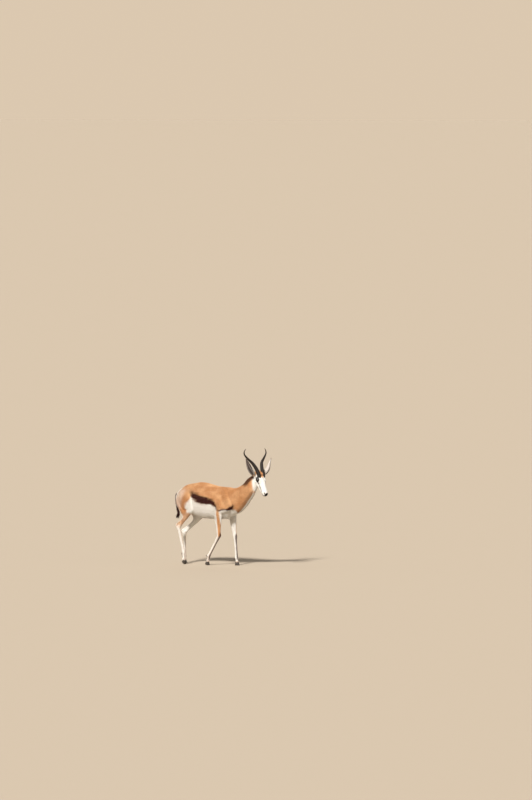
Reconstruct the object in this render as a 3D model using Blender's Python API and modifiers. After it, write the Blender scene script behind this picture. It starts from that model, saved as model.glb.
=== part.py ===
"""A springbok ram, life size, caught at a walk with its head turned a little to its right.

The flesh is one blended body, swept from the named sizes below and parted with thin cuts.
Eyes, ears, horns, hooves and tail are pieces of their own that meet it face to face.
+X is forward, +Y the animal's left and +Z up, in metres.
"""

import math

import bmesh
import bpy
import numpy as np
from mathutils import Matrix, Vector

GAP = 0.0003  # left between pieces that touch
FINE = 0.0022  # grid that the flesh is blended on
WELD = 0.000001  # points nearer than this become one
RIGHT, LEFT = -1, 1  # the two sides, as signs of Y
SIDES = {"right": RIGHT, "left": LEFT}

# Trunk: x, back height, belly height, height of the widest line, half width, back and belly roundness.
TRUNK = (
    (-0.352, 0.735, 0.664, 0.705, 0.024, 2.0, 2.0),
    (-0.334, 0.764, 0.615, 0.700, 0.056, 2.0, 2.0),
    (-0.290, 0.797, 0.574, 0.690, 0.082, 2.0, 2.0),
    (-0.217, 0.830, 0.540, 0.680, 0.094, 1.9, 2.0),
    (-0.131, 0.849, 0.505, 0.660, 0.102, 1.9, 2.1),
    (-0.043, 0.846, 0.479, 0.645, 0.112, 1.9, 2.1),
    (0.050, 0.829, 0.471, 0.635, 0.118, 1.9, 2.1),
    (0.130, 0.813, 0.472, 0.630, 0.114, 1.8, 2.1),
    (0.210, 0.808, 0.476, 0.625, 0.098, 1.6, 2.0),
    (0.285, 0.800, 0.482, 0.620, 0.082, 1.8, 2.0),
    (0.340, 0.750, 0.497, 0.600, 0.062, 2.0, 2.0),
    (0.372, 0.650, 0.520, 0.585, 0.034, 2.0, 2.0),
)

# Neck: centre x, y, z, half width, half depth to the nape and to the throat, roundness of each.
NECK = (
    (0.190, 0.000, 0.660, 0.070, 0.110, 0.120, 2.0, 2.0),
    (0.312, 0.000, 0.668, 0.076, 0.136, 0.142, 1.8, 2.0),
    (0.388, -0.003, 0.703, 0.066, 0.114, 0.122, 1.8, 2.0),
    (0.442, -0.008, 0.743, 0.058, 0.094, 0.102, 1.8, 2.0),
    (0.498, -0.015, 0.794, 0.052, 0.080, 0.086, 1.9, 2.0),
    (0.547, -0.020, 0.860, 0.046, 0.070, 0.070, 2.0, 2.0),
    (0.585, -0.022, 0.910, 0.036, 0.045, 0.045, 2.0, 2.0),
)

# Head, in its own frame: the origin lies midway between the eyes.
HEAD_AT = Vector((0.652, -0.030, 0.892))
HEAD_TURN = math.radians(22)  # to its right
HEAD_DROP = math.radians(55.5)  # of the face below the level
# Place along the face, brow height, jaw height, height of the widest line, half width, roundness.
SKULL = (
    (-0.108, 0.010, -0.050, -0.020, 0.026, 2.0, 2.0),
    (-0.088, 0.032, -0.066, -0.015, 0.038, 2.2, 2.0),
    (-0.058, 0.045, -0.080, -0.012, 0.043, 2.4, 2.0),
    (-0.025, 0.044, -0.087, -0.010, 0.0425, 2.5, 1.9),
    (0.005, 0.038, -0.085, -0.010, 0.0405, 2.4, 1.8),
    (0.035, 0.032, -0.077, -0.014, 0.0355, 2.2, 1.8),
    (0.065, 0.027, -0.069, -0.018, 0.0310, 2.1, 1.8),
    (0.096, 0.022, -0.062, -0.020, 0.0275, 2.1, 1.9),
    (0.124, 0.018, -0.057, -0.020, 0.0255, 2.2, 2.0),
    (0.149, 0.014, -0.052, -0.020, 0.0245, 2.4, 2.2),
    (0.165, 0.006, -0.045, -0.020, 0.0210, 2.4, 2.2),
    (0.175, -0.004, -0.034, -0.020, 0.0130, 2.2, 2.0),
)

EYE_AT = Vector((-0.005, 0.0390, 0.001))  # along the face, out and up, mirrored for the right
EYE_RADIUS = 0.0185
LID_REACH = 0.0180  # half length of the eye opening
LID_THICK = 0.0031

HORN_RADIUS = 0.0232
HORN_TIP = 0.0018
HORN_RINGS = 16
HORN_SIDES = 10
# Horn line from its root: back, out and up, measured level with the ground.
HORN_LINE = (
    (-0.012, 0.026, -0.020),
    (0.004, 0.030, 0.020),
    (0.030, 0.039, 0.068),
    (0.060, 0.061, 0.118),
    (0.080, 0.104, 0.162),
    (0.090, 0.138, 0.206),
    (0.092, 0.138, 0.240),
    (0.088, 0.120, 0.264),
)
HORN_ROOT = Vector((-0.050, 0.0, 0.026))  # in the head's frame

EAR_ROOT = Vector((-0.078, 0.042, -0.018))
EAR_LENGTH = 0.212
EAR_WIDTH = 0.058
EAR_THICK = 0.0034
EAR_STEPS = 13
EAR_PLUG = 0.13  # share of its length that is solid, in its socket

# Joints of each leg: x, y, z. The shoulder blade and hip are the same on both sides.
FORE_JOINTS = {
    "right": {
        "elbow": (0.170, -0.078, 0.552),
        "knee": (0.182, -0.074, 0.308),
        "fetlock": (0.058, -0.070, 0.098),
        "hoof": (0.037, -0.068, 0.0),
    },
    "left": {
        "elbow": (0.250, 0.078, 0.540),
        "knee": (0.288, 0.072, 0.294),
        "fetlock": (0.309, 0.064, 0.080),
        "hoof": (0.318, 0.062, 0.0),
    },
}
HIND_JOINTS = {
    "right": {
        "stifle": (-0.150, -0.092, 0.566),
        "hock": (-0.298, -0.078, 0.376),
        "fetlock": (-0.243, -0.070, 0.122),
        "hoof": (-0.245, -0.068, 0.0),
    },
    "left": {
        "stifle": (-0.108, 0.092, 0.522),
        "hock": (-0.320, 0.078, 0.312),
        "fetlock": (-0.314, 0.070, 0.082),
        "hoof": (-0.311, 0.068, 0.0),
    },
}
HOOF_PITCH = {  # degrees that each heel is lifted
    ("fore", "right"): 14,
    ("fore", "left"): 0,
    ("hind", "right"): 38,
    ("hind", "left"): 0,
}

HOOF_LONG = 0.058
HOOF_WIDE = 0.0185
HOOF_HIGH = 0.034
CLEFT = 0.0022  # between the two claws of a foot
TOE_FLAT = 0.011  # length of the flat on which a lifted hoof rests

# Tail: centre x, y, z and half thickness.
TAIL = (
    (-0.326, 0.000, 0.722, 0.0120),
    (-0.358, -0.001, 0.716, 0.0125),
    (-0.373, -0.003, 0.690, 0.0110),
    (-0.370, -0.009, 0.640, 0.0090),
    (-0.356, -0.014, 0.585, 0.0080),
    (-0.343, -0.017, 0.545, 0.0070),
    (-0.338, -0.019, 0.515, 0.0050),
    (-0.345, -0.020, 0.497, 0.0020),
)
TUFT_FROM = 0.42  # share of the tail's length above which no lock grows
TUFT_LOCKS = 13
LOCK_LONG = 0.072
LOCK_WIDE = 0.0105
LOCK_THICK = 0.0032
LOCK_CURL = 0.30  # how far a tip swings back, as a share of its length

LEG_INNER = 0.012  # from the midline to the block that parts a leg from the trunk

# Triangles that each stretch of flesh keeps.
HEAD_FACES = 2480
NECK_FACES = 600
TRUNK_FACES = 3400
UPPER_FACES = 340
SHANK_FACES = 320

COAT = (0.62, 0.30, 0.12, 1.0)
WHITE = (0.80, 0.76, 0.70, 1.0)
DARK = (0.05, 0.035, 0.03, 1.0)


def clear_scene():
    for item in list(bpy.data.objects):
        bpy.data.objects.remove(item, do_unlink=True)


def material(name, colour, roughness):
    made = bpy.data.materials.new(name)
    made.use_nodes = True
    shader = made.node_tree.nodes["Principled BSDF"]
    shader.inputs["Base Color"].default_value = colour
    shader.inputs["Roughness"].default_value = roughness
    shader.inputs["Metallic"].default_value = 0.0
    return made


def smooth_rows(rows, steps):
    """A curve through rows of numbers, with `steps` samples between each two."""
    rows = np.array(rows, float)
    rows = np.vstack([2 * rows[0] - rows[1], rows, 2 * rows[-1] - rows[-2]])
    found = []
    for i in range(1, len(rows) - 2):
        before, here, there, after = rows[i - 1 : i + 3]
        for t in np.linspace(0, 1, steps, endpoint=False):
            found.append(
                0.5
                * (
                    2 * here
                    + (there - before) * t
                    + (2 * before - 5 * here + 4 * there - after) * t * t
                    + (3 * here - before - 3 * there + after) * t**3
                )
            )
    found.append(rows[-2])
    return np.array(found)


def new_object(name, mesh_or_bm, group):
    if isinstance(mesh_or_bm, bmesh.types.BMesh):
        mesh = bpy.data.meshes.new(name)
        bmesh.ops.recalc_face_normals(mesh_or_bm, faces=mesh_or_bm.faces)
        mesh_or_bm.to_mesh(mesh)
        mesh_or_bm.free()
    else:
        mesh = mesh_or_bm
    made = bpy.data.objects.new(name, mesh)
    group.objects.link(made)
    return made


def add_rings(bm, rings, folded=False):
    """Joins rings of equal count into one closed tube. Its ends are fans, or strips across a fold."""
    rows = [[bm.verts.new(p) for p in ring] for ring in rings]
    count = len(rows[0])
    for low, high in zip(rows, rows[1:]):
        for k in range(count):
            bm.faces.new((low[k], low[(k + 1) % count], high[(k + 1) % count], high[k]))
    for row in (rows[0], rows[-1]):
        if folded:
            for k in range(count // 2 - 1):
                bm.faces.new((row[k], row[k + 1], row[count - 2 - k], row[count - 1 - k]))
            continue
        middle = sum((v.co for v in row), Vector()) / count
        hub = bm.verts.new(middle)
        for k in range(count):
            bm.faces.new((row[k], row[(k + 1) % count], hub))


def oval(half_width, fore, back, fore_round, back_round, count):
    """Points (side, fore) of one ring: two half ovals that meet at its widest line."""
    found = []
    for k in range(count):
        angle = 2 * math.pi * k / count
        across, along = math.cos(angle), math.sin(angle)
        power, reach = (fore_round, fore) if along >= 0 else (back_round, back)
        found.append(
            (
                math.copysign(abs(across) ** (2 / power), across) * half_width,
                math.copysign(abs(along) ** (2 / power), along) * reach,
            )
        )
    return found


def sweep(bm, rows, side=Vector((0, 1, 0)), steps=5, count=24):
    """A tube along rows of x, y, z, half width, fore, back, fore and back roundness."""
    rows = smooth_rows(rows, steps)
    centres = [Vector(r[:3]) for r in rows]
    rings = []
    for i, row in enumerate(rows):
        along = centres[min(i + 1, len(rows) - 1)] - centres[max(i - 1, 0)]
        along.normalize()
        across = (side - along * side.dot(along)).normalized()
        fore = along.cross(across)
        ring = oval(*[max(v, 0.0008) for v in row[3:]], count)
        rings.append([centres[i] + across * s + fore * f for s, f in ring])
    add_rings(bm, rings)


def round_rows(points, sizes):
    """Rows for sweep from joint places and (half width, fore, back) sizes."""
    return [(*p, *s, 2.0, 2.0) for p, s in zip(points, sizes)]


def between(start, end, part):
    return Vector(start).lerp(Vector(end), part)


def level_rows(table):
    """Trunk and skull tables as sweep rows: along +X, the ring upright."""
    return [
        (x, 0.0, mid, half, top - mid, mid - low, up_round, low_round)
        for x, top, low, mid, half, up_round, low_round in table
    ]


def head_matrix():
    """The head's frame: X along the face to the nose, Y to its left, Z out of the brow."""
    face = Vector(
        (
            math.cos(HEAD_DROP) * math.cos(HEAD_TURN),
            -math.cos(HEAD_DROP) * math.sin(HEAD_TURN),
            -math.sin(HEAD_DROP),
        )
    )
    left = Vector((math.sin(HEAD_TURN), math.cos(HEAD_TURN), 0))
    brow = face.cross(left)
    turned = Matrix((face, left, brow)).transposed().to_4x4()
    return Matrix.Translation(HEAD_AT) @ turned


def add_ball(bm, centre, radii, turn=None, fine=16):
    spot = Matrix.Translation(centre) @ (turn or Matrix.Identity(4)) @ Matrix.Diagonal((*radii, 1))
    bmesh.ops.create_uvsphere(bm, u_segments=fine, v_segments=fine // 2, radius=1, matrix=spot)


def add_shoulder(bm, side, joints):
    """Shoulder blade, upper arm and the muscle behind it, down to the elbow."""
    elbow = Vector(joints["elbow"])
    blade_top = Vector((0.205, 0.040 * side, 0.770))
    blade = Vector((0.240, 0.064 * side, 0.705))
    point = Vector((0.292, 0.070 * side, 0.610))
    arm = between(point, elbow, 0.5) + Vector((0, 0.004 * side, 0))
    sweep(
        bm,
        round_rows(
            (blade_top, blade, point, arm, elbow, elbow + Vector((0, 0, -0.05))),
            (
                (0.014, 0.040, 0.040),
                (0.026, 0.046, 0.050),
                (0.032, 0.040, 0.055),
                (0.030, 0.040, 0.046),
                (0.024, 0.038, 0.036),
                (0.019, 0.028, 0.026),
            ),
        ),
    )
    back = elbow + Vector((-0.030, -0.002 * side, 0.018))
    sweep(
        bm,
        round_rows(
            (
                blade + Vector((-0.035, 0, 0.01)),
                between(blade, back, 0.5) + Vector((-0.022, 0.018 * side, 0)),
                back,
                elbow + Vector((-0.01, 0, -0.04)),
            ),
            (
                (0.018, 0.030, 0.030),
                (0.026, 0.044, 0.036),
                (0.017, 0.028, 0.016),
                (0.012, 0.014, 0.012),
            ),
        ),
    )


def add_foreleg(bm, side, joints):
    elbow, knee, fetlock, hoof = (Vector(joints[j]) for j in ("elbow", "knee", "fetlock", "hoof"))
    end = hoof + Vector((0, 0, 0.014))
    points = (
        elbow + Vector((0, 0, 0.03)),
        between(elbow, knee, 0.12),
        between(elbow, knee, 0.40),
        between(elbow, knee, 0.76),
        between(elbow, knee, 0.92),
        knee,
        between(knee, fetlock, 0.10),
        between(knee, fetlock, 0.34),
        between(knee, fetlock, 0.72),
        between(knee, fetlock, 0.90),
        fetlock,
        between(fetlock, end, 0.40),
        between(fetlock, end, 0.74),
        end,
    )
    sizes = (
        (0.0260, 0.0440, 0.0480),
        (0.0255, 0.0440, 0.0480),
        (0.0215, 0.0330, 0.0400),
        (0.0165, 0.0190, 0.0280),
        (0.0172, 0.0185, 0.0240),
        (0.0182, 0.0195, 0.0225),
        (0.0162, 0.0172, 0.0192),
        (0.0120, 0.0142, 0.0172),
        (0.0115, 0.0134, 0.0168),
        (0.0132, 0.0135, 0.0165),
        (0.0160, 0.0155, 0.0180),
        (0.0140, 0.0125, 0.0130),
        (0.0175, 0.0165, 0.0165),
        (0.0185, 0.0190, 0.0170),
    )
    sweep(bm, round_rows(points, sizes), steps=4, count=20)


def add_thigh(bm, side, joints):
    """Haunch from the hip to the stifle, and the long muscle down its rear edge."""
    stifle, hock = Vector(joints["stifle"]), Vector(joints["hock"])
    hip = Vector((-0.215, 0.058 * side, 0.735))
    sweep(
        bm,
        round_rows(
            (
                hip,
                between(hip, stifle, 0.36) + Vector((-0.020, 0.012 * side, 0)),
                between(hip, stifle, 0.72) + Vector((-0.010, 0.006 * side, 0)),
                stifle + Vector((-0.008, -0.004 * side, 0)),
                between(stifle, hock, 0.30),
                between(stifle, hock, 0.55),
            ),
            (
                (0.036, 0.070, 0.080),
                (0.040, 0.078, 0.092),
                (0.034, 0.058, 0.086),
                (0.027, 0.036, 0.068),
                (0.023, 0.030, 0.038),
                (0.017, 0.022, 0.022),
            ),
        ),
    )
    pin = Vector((-0.312, 0.040 * side, 0.712))
    sweep(
        bm,
        round_rows(
            (
                pin,
                pin + Vector((0.006, 0.020 * side, -0.068)),
                Vector((stifle.x - 0.120, stifle.y - 0.012 * side, stifle.z + 0.020)),
                between(stifle, hock, 0.34) + Vector((-0.026, 0, 0.002)),
                between(stifle, hock, 0.70) + Vector((-0.012, 0, 0.010)),
            ),
            (
                (0.024, 0.034, 0.026),
                (0.034, 0.050, 0.028),
                (0.030, 0.046, 0.026),
                (0.018, 0.026, 0.018),
                (0.008, 0.010, 0.008),
            ),
        ),
    )


def add_hindleg(bm, side, joints):
    stifle, hock, fetlock, hoof = (Vector(joints[j]) for j in ("stifle", "hock", "fetlock", "hoof"))
    end = hoof + Vector((0, 0, 0.014))
    points = (
        stifle,
        between(stifle, hock, 0.28),
        between(stifle, hock, 0.60),
        between(stifle, hock, 0.86),
        hock,
        between(hock, fetlock, 0.10),
        between(hock, fetlock, 0.34),
        between(hock, fetlock, 0.70),
        between(hock, fetlock, 0.90),
        fetlock,
        between(fetlock, end, 0.40),
        between(fetlock, end, 0.74),
        end,
    )
    sizes = (
        (0.026, 0.034, 0.040),
        (0.0240, 0.0290, 0.0360),
        (0.0170, 0.0200, 0.0220),
        (0.0135, 0.0170, 0.0150),
        (0.0165, 0.0190, 0.0200),
        (0.0150, 0.0165, 0.0175),
        (0.0112, 0.0132, 0.0155),
        (0.0108, 0.0125, 0.0150),
        (0.0132, 0.0140, 0.0165),
        (0.0160, 0.0160, 0.0180),
        (0.0140, 0.0125, 0.0130),
        (0.0175, 0.0165, 0.0165),
        (0.0185, 0.0190, 0.0170),
    )
    sweep(bm, round_rows(points, sizes), steps=4, count=20)
    # The heel bone behind the hock, and the cord that runs up from it.
    down = (fetlock - hock).normalized()
    heel = hock + Vector((-0.026, 0, 0.026))
    sweep(
        bm,
        round_rows(
            (
                between(stifle, hock, 0.42) + Vector((-0.024, 0, -0.004)),
                between(stifle, hock, 0.72) + Vector((-0.022, 0, 0.010)),
                heel,
                heel - Vector((-0.008, 0, 0.022)),
                hock + down * 0.045 + Vector((-0.006, 0, 0)),
            ),
            (
                (0.0110, 0.0270, 0.0100),
                (0.0095, 0.0280, 0.0090),
                (0.0120, 0.0230, 0.0095),
                (0.0120, 0.0120, 0.0100),
                (0.0100, 0.0100, 0.0080),
            ),
        ),
        steps=4,
        count=14,
    )


def add_head(bm):
    """Skull and jaws, with the bony eye rims, cheeks, nose wings and lips blended on."""
    local = bmesh.new()
    sweep(local, level_rows(SKULL), count=28)
    for side in SIDES.values():
        add_ball(local, (-0.010, 0.0285 * side, 0.003), (0.052, 0.0205, 0.033))  # eye rim
        add_ball(local, (-0.036, 0.030 * side, 0.010), (0.036, 0.015, 0.024))  # brow to ear
        add_ball(local, (-0.030, 0.027 * side, -0.044), (0.040, 0.016, 0.034))  # cheek
        add_ball(local, (0.045, 0.024 * side, -0.022), (0.042, 0.010, 0.014))  # cheek bone
        add_ball(local, (0.150, 0.0125 * side, -0.008), (0.014, 0.0095, 0.011))  # nose wing
        add_ball(local, (0.134, 0.015 * side, -0.022), (0.022, 0.0085, 0.012))  # upper lip
        add_ball(local, (0.124, 0.012 * side, -0.041), (0.026, 0.0085, 0.009))  # lower lip
        add_ball(local, (-0.086, 0.036 * side, -0.022), (0.026, 0.020, 0.028))  # ear root
        add_ball(local, (-0.052, 0.020 * side, 0.024), (0.034, 0.024, 0.026))  # horn root
    add_ball(local, (0.132, 0, -0.047), (0.019, 0.015, 0.010))  # chin
    local.transform(head_matrix())
    part = bpy.data.meshes.new("head shapes")
    local.to_mesh(part)
    local.free()
    bm.from_mesh(part)
    bpy.data.meshes.remove(part)


def soften_weights(flesh):
    """How far each point is blended: most on the trunk, least on the face and feet."""
    group = flesh.vertex_groups.new(name="soft")
    places = np.empty(len(flesh.data.vertices) * 3)
    flesh.data.vertices.foreach_get("co", places)
    x, _, z = places.reshape(-1, 3).T
    trunk = np.clip((0.52 - x) / 0.08, 0, 1) * np.clip((z - 0.40) / 0.12, 0, 1)
    weight = np.round(0.14 + 0.86 * trunk, 1)
    for level in np.unique(weight):
        group.add(np.flatnonzero(weight == level).tolist(), float(level), "REPLACE")
    return group.name


def apply_modifiers(item):
    graph = bpy.context.evaluated_depsgraph_get()
    mesh = bpy.data.meshes.new_from_object(item.evaluated_get(graph))
    item.modifiers.clear()
    old = item.data
    item.data = mesh
    bpy.data.meshes.remove(old)


def blended_flesh(group):
    bm = bmesh.new()
    sweep(bm, level_rows(TRUNK), count=32)
    sweep(bm, NECK, count=28)
    for name, side in SIDES.items():
        add_shoulder(bm, side, FORE_JOINTS[name])
        add_foreleg(bm, side, FORE_JOINTS[name])
        add_thigh(bm, side, HIND_JOINTS[name])
        add_hindleg(bm, side, HIND_JOINTS[name])
    add_head(bm)
    flesh = new_object("flesh", bm, group)
    grid = flesh.modifiers.new("blend", "REMESH")
    grid.mode = "VOXEL"
    grid.voxel_size = FINE
    apply_modifiers(flesh)
    soft = flesh.modifiers.new("soften", "SMOOTH")
    soft.vertex_group = soften_weights(flesh)
    soft.factor = 0.5
    soft.iterations = 60
    apply_modifiers(flesh)
    return flesh


def keep_largest(bm):
    """Drops every closed surface but the largest."""
    unseen = set(bm.verts)
    pieces = []
    while unseen:
        front = [unseen.pop()]
        piece = list(front)
        while front:
            found = []
            for vert in front:
                for edge in vert.link_edges:
                    other = edge.other_vert(vert)
                    if other in unseen:
                        unseen.remove(other)
                        found.append(other)
            piece += found
            front = found
        pieces.append(piece)
    pieces.sort(key=len)
    loose = [v for piece in pieces[:-1] for v in piece]
    bmesh.ops.delete(bm, geom=loose, context="VERTS")


def slice_off(bm, point, normal):
    """Keeps what lies on the side that the normal points to, with a flat end."""
    found = bmesh.ops.bisect_plane(
        bm,
        geom=bm.verts[:] + bm.edges[:] + bm.faces[:],
        dist=1e-7,
        plane_co=point,
        plane_no=normal,
        clear_inner=True,
    )
    edges = [e for e in found["geom_cut"] if isinstance(e, bmesh.types.BMEdge)]
    bmesh.ops.holes_fill(bm, edges=edges)


def stretch(source, name, group, planes, faces, seed=None):
    """The part of a mesh between planes, thinned to a number of triangles.

    It is cut 2 mm too long, thinned, and cut again where its ends belong.
    """
    spare = 0.002
    bm = bmesh.new()
    bm.from_mesh(source.data)
    for point, normal in planes:
        slice_off(bm, Vector(point) - Vector(normal).normalized() * spare, normal)
    if seed is not None:
        near = min(bm.verts, key=lambda v: (v.co - Vector(seed)).length_squared)
        keep_linked(bm, near)
    else:
        keep_largest(bm)
    made = new_object(name, bm, group)
    thin = made.modifiers.new("thin", "DECIMATE")
    triangles = sum(len(p.vertices) - 2 for p in made.data.polygons)
    thin.ratio = min(1.0, faces / triangles)
    apply_modifiers(made)
    bm = bmesh.new()
    bm.from_mesh(made.data)
    for point, normal in planes:
        slice_off(bm, point, normal)
    keep_largest(bm)
    bmesh.ops.triangulate(bm, faces=bm.faces[:])
    bmesh.ops.recalc_face_normals(bm, faces=bm.faces[:])
    bm.to_mesh(made.data)
    bm.free()
    return made


def keep_linked(bm, start):
    front = [start]
    kept = {start}
    while front:
        vert = front.pop()
        for edge in vert.link_edges:
            other = edge.other_vert(vert)
            if other not in kept:
                kept.add(other)
                front.append(other)
    loose = [v for v in bm.verts if v not in kept]
    bmesh.ops.delete(bm, geom=loose, context="VERTS")


def boolean(item, others, operation):
    """One Boolean of item with several closed meshes, which it uses up."""
    helpers = bpy.data.collections.new("helpers")
    bpy.context.scene.collection.children.link(helpers)
    for other in others:
        for owner in list(other.users_collection):
            owner.objects.unlink(other)
        helpers.objects.link(other)
    cut = item.modifiers.new("joined", "BOOLEAN")
    cut.operand_type = "COLLECTION"
    cut.collection = helpers
    cut.operation = operation
    cut.solver = "EXACT"
    apply_modifiers(item)
    for other in others:
        bpy.data.objects.remove(other, do_unlink=True)
    bpy.data.collections.remove(helpers)
    bm = bmesh.new()
    bm.from_mesh(item.data)
    keep_largest(bm)
    bmesh.ops.triangulate(bm, faces=bm.faces[:])
    bmesh.ops.remove_doubles(bm, verts=bm.verts[:], dist=WELD)
    bmesh.ops.dissolve_degenerate(bm, dist=WELD, edges=bm.edges[:])
    bmesh.ops.triangulate(bm, faces=bm.faces[:])
    bm.to_mesh(item.data)
    bm.free()


def copy_of(item, group):
    made = bpy.data.objects.new(item.name + " copy", item.data.copy())
    group.objects.link(made)
    return made


def leg_block(name, x_range, side, low_height, rise, lift, group):
    """A block under a slanting plane, which parts one leg from the trunk."""
    inner, outer = LEG_INNER * side, 0.170 * side
    bm = bmesh.new()
    corners = []
    for x in x_range:
        for y in (inner, outer):
            corners.append((x, y, 0.05))
            corners.append((x, y, low_height + rise * abs(y) + lift))
    for corner in corners:
        bm.verts.new(corner)
    bmesh.ops.convex_hull(bm, input=bm.verts[:])
    return new_object(name, bm, group)


def part_flesh(flesh, group, helpers):
    """Cuts the blended flesh into the animal's named parts."""
    half = GAP / 2
    head_cut = (Vector((0.540, 0, 0.838)), Vector((0.927, -0.05, 0.376)).normalized())
    neck_cut = (Vector((0.338, 0, 0.670)), Vector((0.953, 0, 0.304)).normalized())

    def plane(cut, way):
        point, normal = cut
        return point + normal * half * way, normal * way

    nodes = {
        "head": stretch(flesh, "head", group, [plane(head_cut, 1)], HEAD_FACES),
        "neck": stretch(
            flesh, "neck", group, [plane(head_cut, -1), plane(neck_cut, 1)], NECK_FACES
        ),
    }
    knees = {}
    for end, joints, joint in (("fore", FORE_JOINTS, "knee"), ("hind", HIND_JOINTS, "hock")):
        for name in SIDES:
            here = Vector(joints[name][joint])
            low = Vector(joints[name]["fetlock"])
            axis = (low - here).normalized()
            down = (axis + Vector((0, 0, -1))).normalized()
            knees[end, name] = (here + down * 0.030, down)
    top_planes = [plane(neck_cut, -1)]
    trunk = stretch(flesh, "torso", group, top_planes, TRUNK_FACES)
    for (end, name), cut in knees.items():
        joints = FORE_JOINTS if end == "fore" else HIND_JOINTS
        seed = between(joints[name]["knee" if end == "fore" else "hock"], joints[name]["fetlock"], 0.6)
        sole, normal = coronet_plane(end, name)
        shank = stretch(
            flesh,
            f"{end}leg_lower_{name}",
            group,
            [plane(cut, 1), (sole + normal * GAP, normal)],
            SHANK_FACES,
            seed,
        )
        nodes[shank.name] = shank
    ranges = {  # of each block along X, its height at the midline and its rise outwards
        ("fore", "right"): ((0.085, 0.300), 0.450, 0.60),
        ("fore", "left"): ((0.150, 0.372), 0.450, 0.60),
        ("hind", "right"): ((-0.440, -0.095), 0.470, 0.60),
        ("hind", "left"): ((-0.440, -0.060), 0.470, 0.60),
    }
    cutters = []
    for (end, name), (span, height, rise) in ranges.items():
        side = SIDES[name]
        joints = FORE_JOINTS if end == "fore" else HIND_JOINTS
        ends = ("elbow", "knee") if end == "fore" else ("stifle", "hock")
        seed = between(*(joints[name][j] for j in ends), 0.6)
        block = [
            (Vector((span[0], 0, 0)), Vector((1, 0, 0))),
            (Vector((span[1], 0, 0)), Vector((-1, 0, 0))),
            (Vector((0, LEG_INNER * side, 0)), Vector((0, side, 0))),
            (Vector((0, 0, height)), Vector((0, rise * side, -1)).normalized()),
            plane(knees[end, name], -1),
        ]
        upper = stretch(flesh, f"{end}leg_upper_{name}", group, block, UPPER_FACES, seed)
        nodes[upper.name] = upper
        wide = (span[0] - GAP, span[1] + GAP)
        cutters.append(leg_block("block", wide, side, height, rise, GAP, helpers))
    boolean(trunk, cutters, "DIFFERENCE")
    nodes["torso"] = trunk
    return nodes


def hoof_frame(end, name):
    """Stands at the toe tip on the floor: X forward, the hoof pitched about it."""
    joints = (FORE_JOINTS if end == "fore" else HIND_JOINTS)[name]
    centre = Vector(joints["hoof"])
    pitch = math.radians(HOOF_PITCH[end, name])
    sunk = TOE_FLAT * math.sin(pitch)  # below the floor, where a lifted toe is cut flat
    toe = centre + Vector((HOOF_LONG * 0.5 * math.cos(pitch), 0, -sunk))
    return Matrix.Translation(toe) @ Matrix.Rotation(pitch, 4, "Y")


def coronet_plane(end, name):
    """Where hair meets hoof: a point of that plane and its upward normal."""
    frame = hoof_frame(end, name)
    point = frame @ Vector((-HOOF_LONG * 0.62, 0, HOOF_HIGH * 0.86))
    normal = frame.to_3x3() @ Vector((-0.22, 0, 1)).normalized()
    return point, normal


def add_claw(group, name, end, side_name, claw):
    """One of a foot's two claws: upright inner wall, rounded outer wall, pointed toe, flat sole."""
    frame = hoof_frame(end, side_name)
    rings = []
    layers = 4
    count = 12
    for layer in range(layers):
        part = layer / (layers - 1)  # 0 at the sole, 1 at the hair
        toe = -0.002 - 0.019 * part
        heel = -HOOF_LONG + 0.007 + 0.003 * part
        bulge = 0.0012 * math.sin(math.pi * part)
        half_wide = HOOF_WIDE / 2 * (1.0 - 0.08 * part) + bulge / 2
        ring = []
        for k in range(count):
            angle = 2 * math.pi * k / count
            along = (toe + heel) / 2 + (toe - heel) / 2 * math.cos(angle)
            taper = 1 - 0.62 * max(0.0, math.cos(angle)) ** 2.2
            across = half_wide * (1 + taper * math.sin(angle))
            inward = half_wide * 0.25 * max(0.0, math.cos(angle)) ** 2
            across = max(across - inward, 0.0) + CLEFT / 2
            height = part * (HOOF_HIGH * 0.86 + 0.22 * (along + HOOF_LONG * 0.62))
            ring.append(frame @ Vector((along, across * claw, height)))
        rings.append(ring)
    bm = bmesh.new()
    add_rings(bm, rings)
    slice_off(bm, Vector((0, 0, 0)), Vector((0, 0, 1)))
    bmesh.ops.triangulate(bm, faces=bm.faces[:])
    return new_object(name, bm, group)


def dewclaws(helpers, end, name):
    """Two small horny points behind the fetlock."""
    joints = (FORE_JOINTS if end == "fore" else HIND_JOINTS)[name]
    fetlock = Vector(joints["fetlock"])
    up = (Vector(joints["knee" if end == "fore" else "hock"]) - fetlock).normalized()
    back = up.cross(Vector((0, 1, 0))).normalized()
    if back.x > 0:
        back = -back
    made = []
    for side in SIDES.values():
        bm = bmesh.new()
        start = fetlock + back * 0.010 + Vector((0, 0.0085 * side, 0)) - up * 0.002
        rows = [
            (*(start + back * reach - up * drop), half, half * 1.2, half * 1.2, 2, 2)
            for reach, drop, half in ((0, 0, 0.0050), (0.006, 0.005, 0.0055), (0.011, 0.016, 0.0012))
        ]
        sweep(bm, rows, steps=2, count=8)
        made.append(new_object("dewclaw", bm, helpers))
    return made


def horn_places(side):
    """Centre line of one horn, in the world: back, out and up from the horn's root."""
    root = head_matrix() @ HORN_ROOT
    ahead = Vector((math.cos(HEAD_TURN), -math.sin(HEAD_TURN), 0))
    left = Vector((math.sin(HEAD_TURN), math.cos(HEAD_TURN), 0))
    return [root - ahead * b + left * (o * side) + Vector((0, 0, u)) for b, o, u in HORN_LINE]


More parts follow.
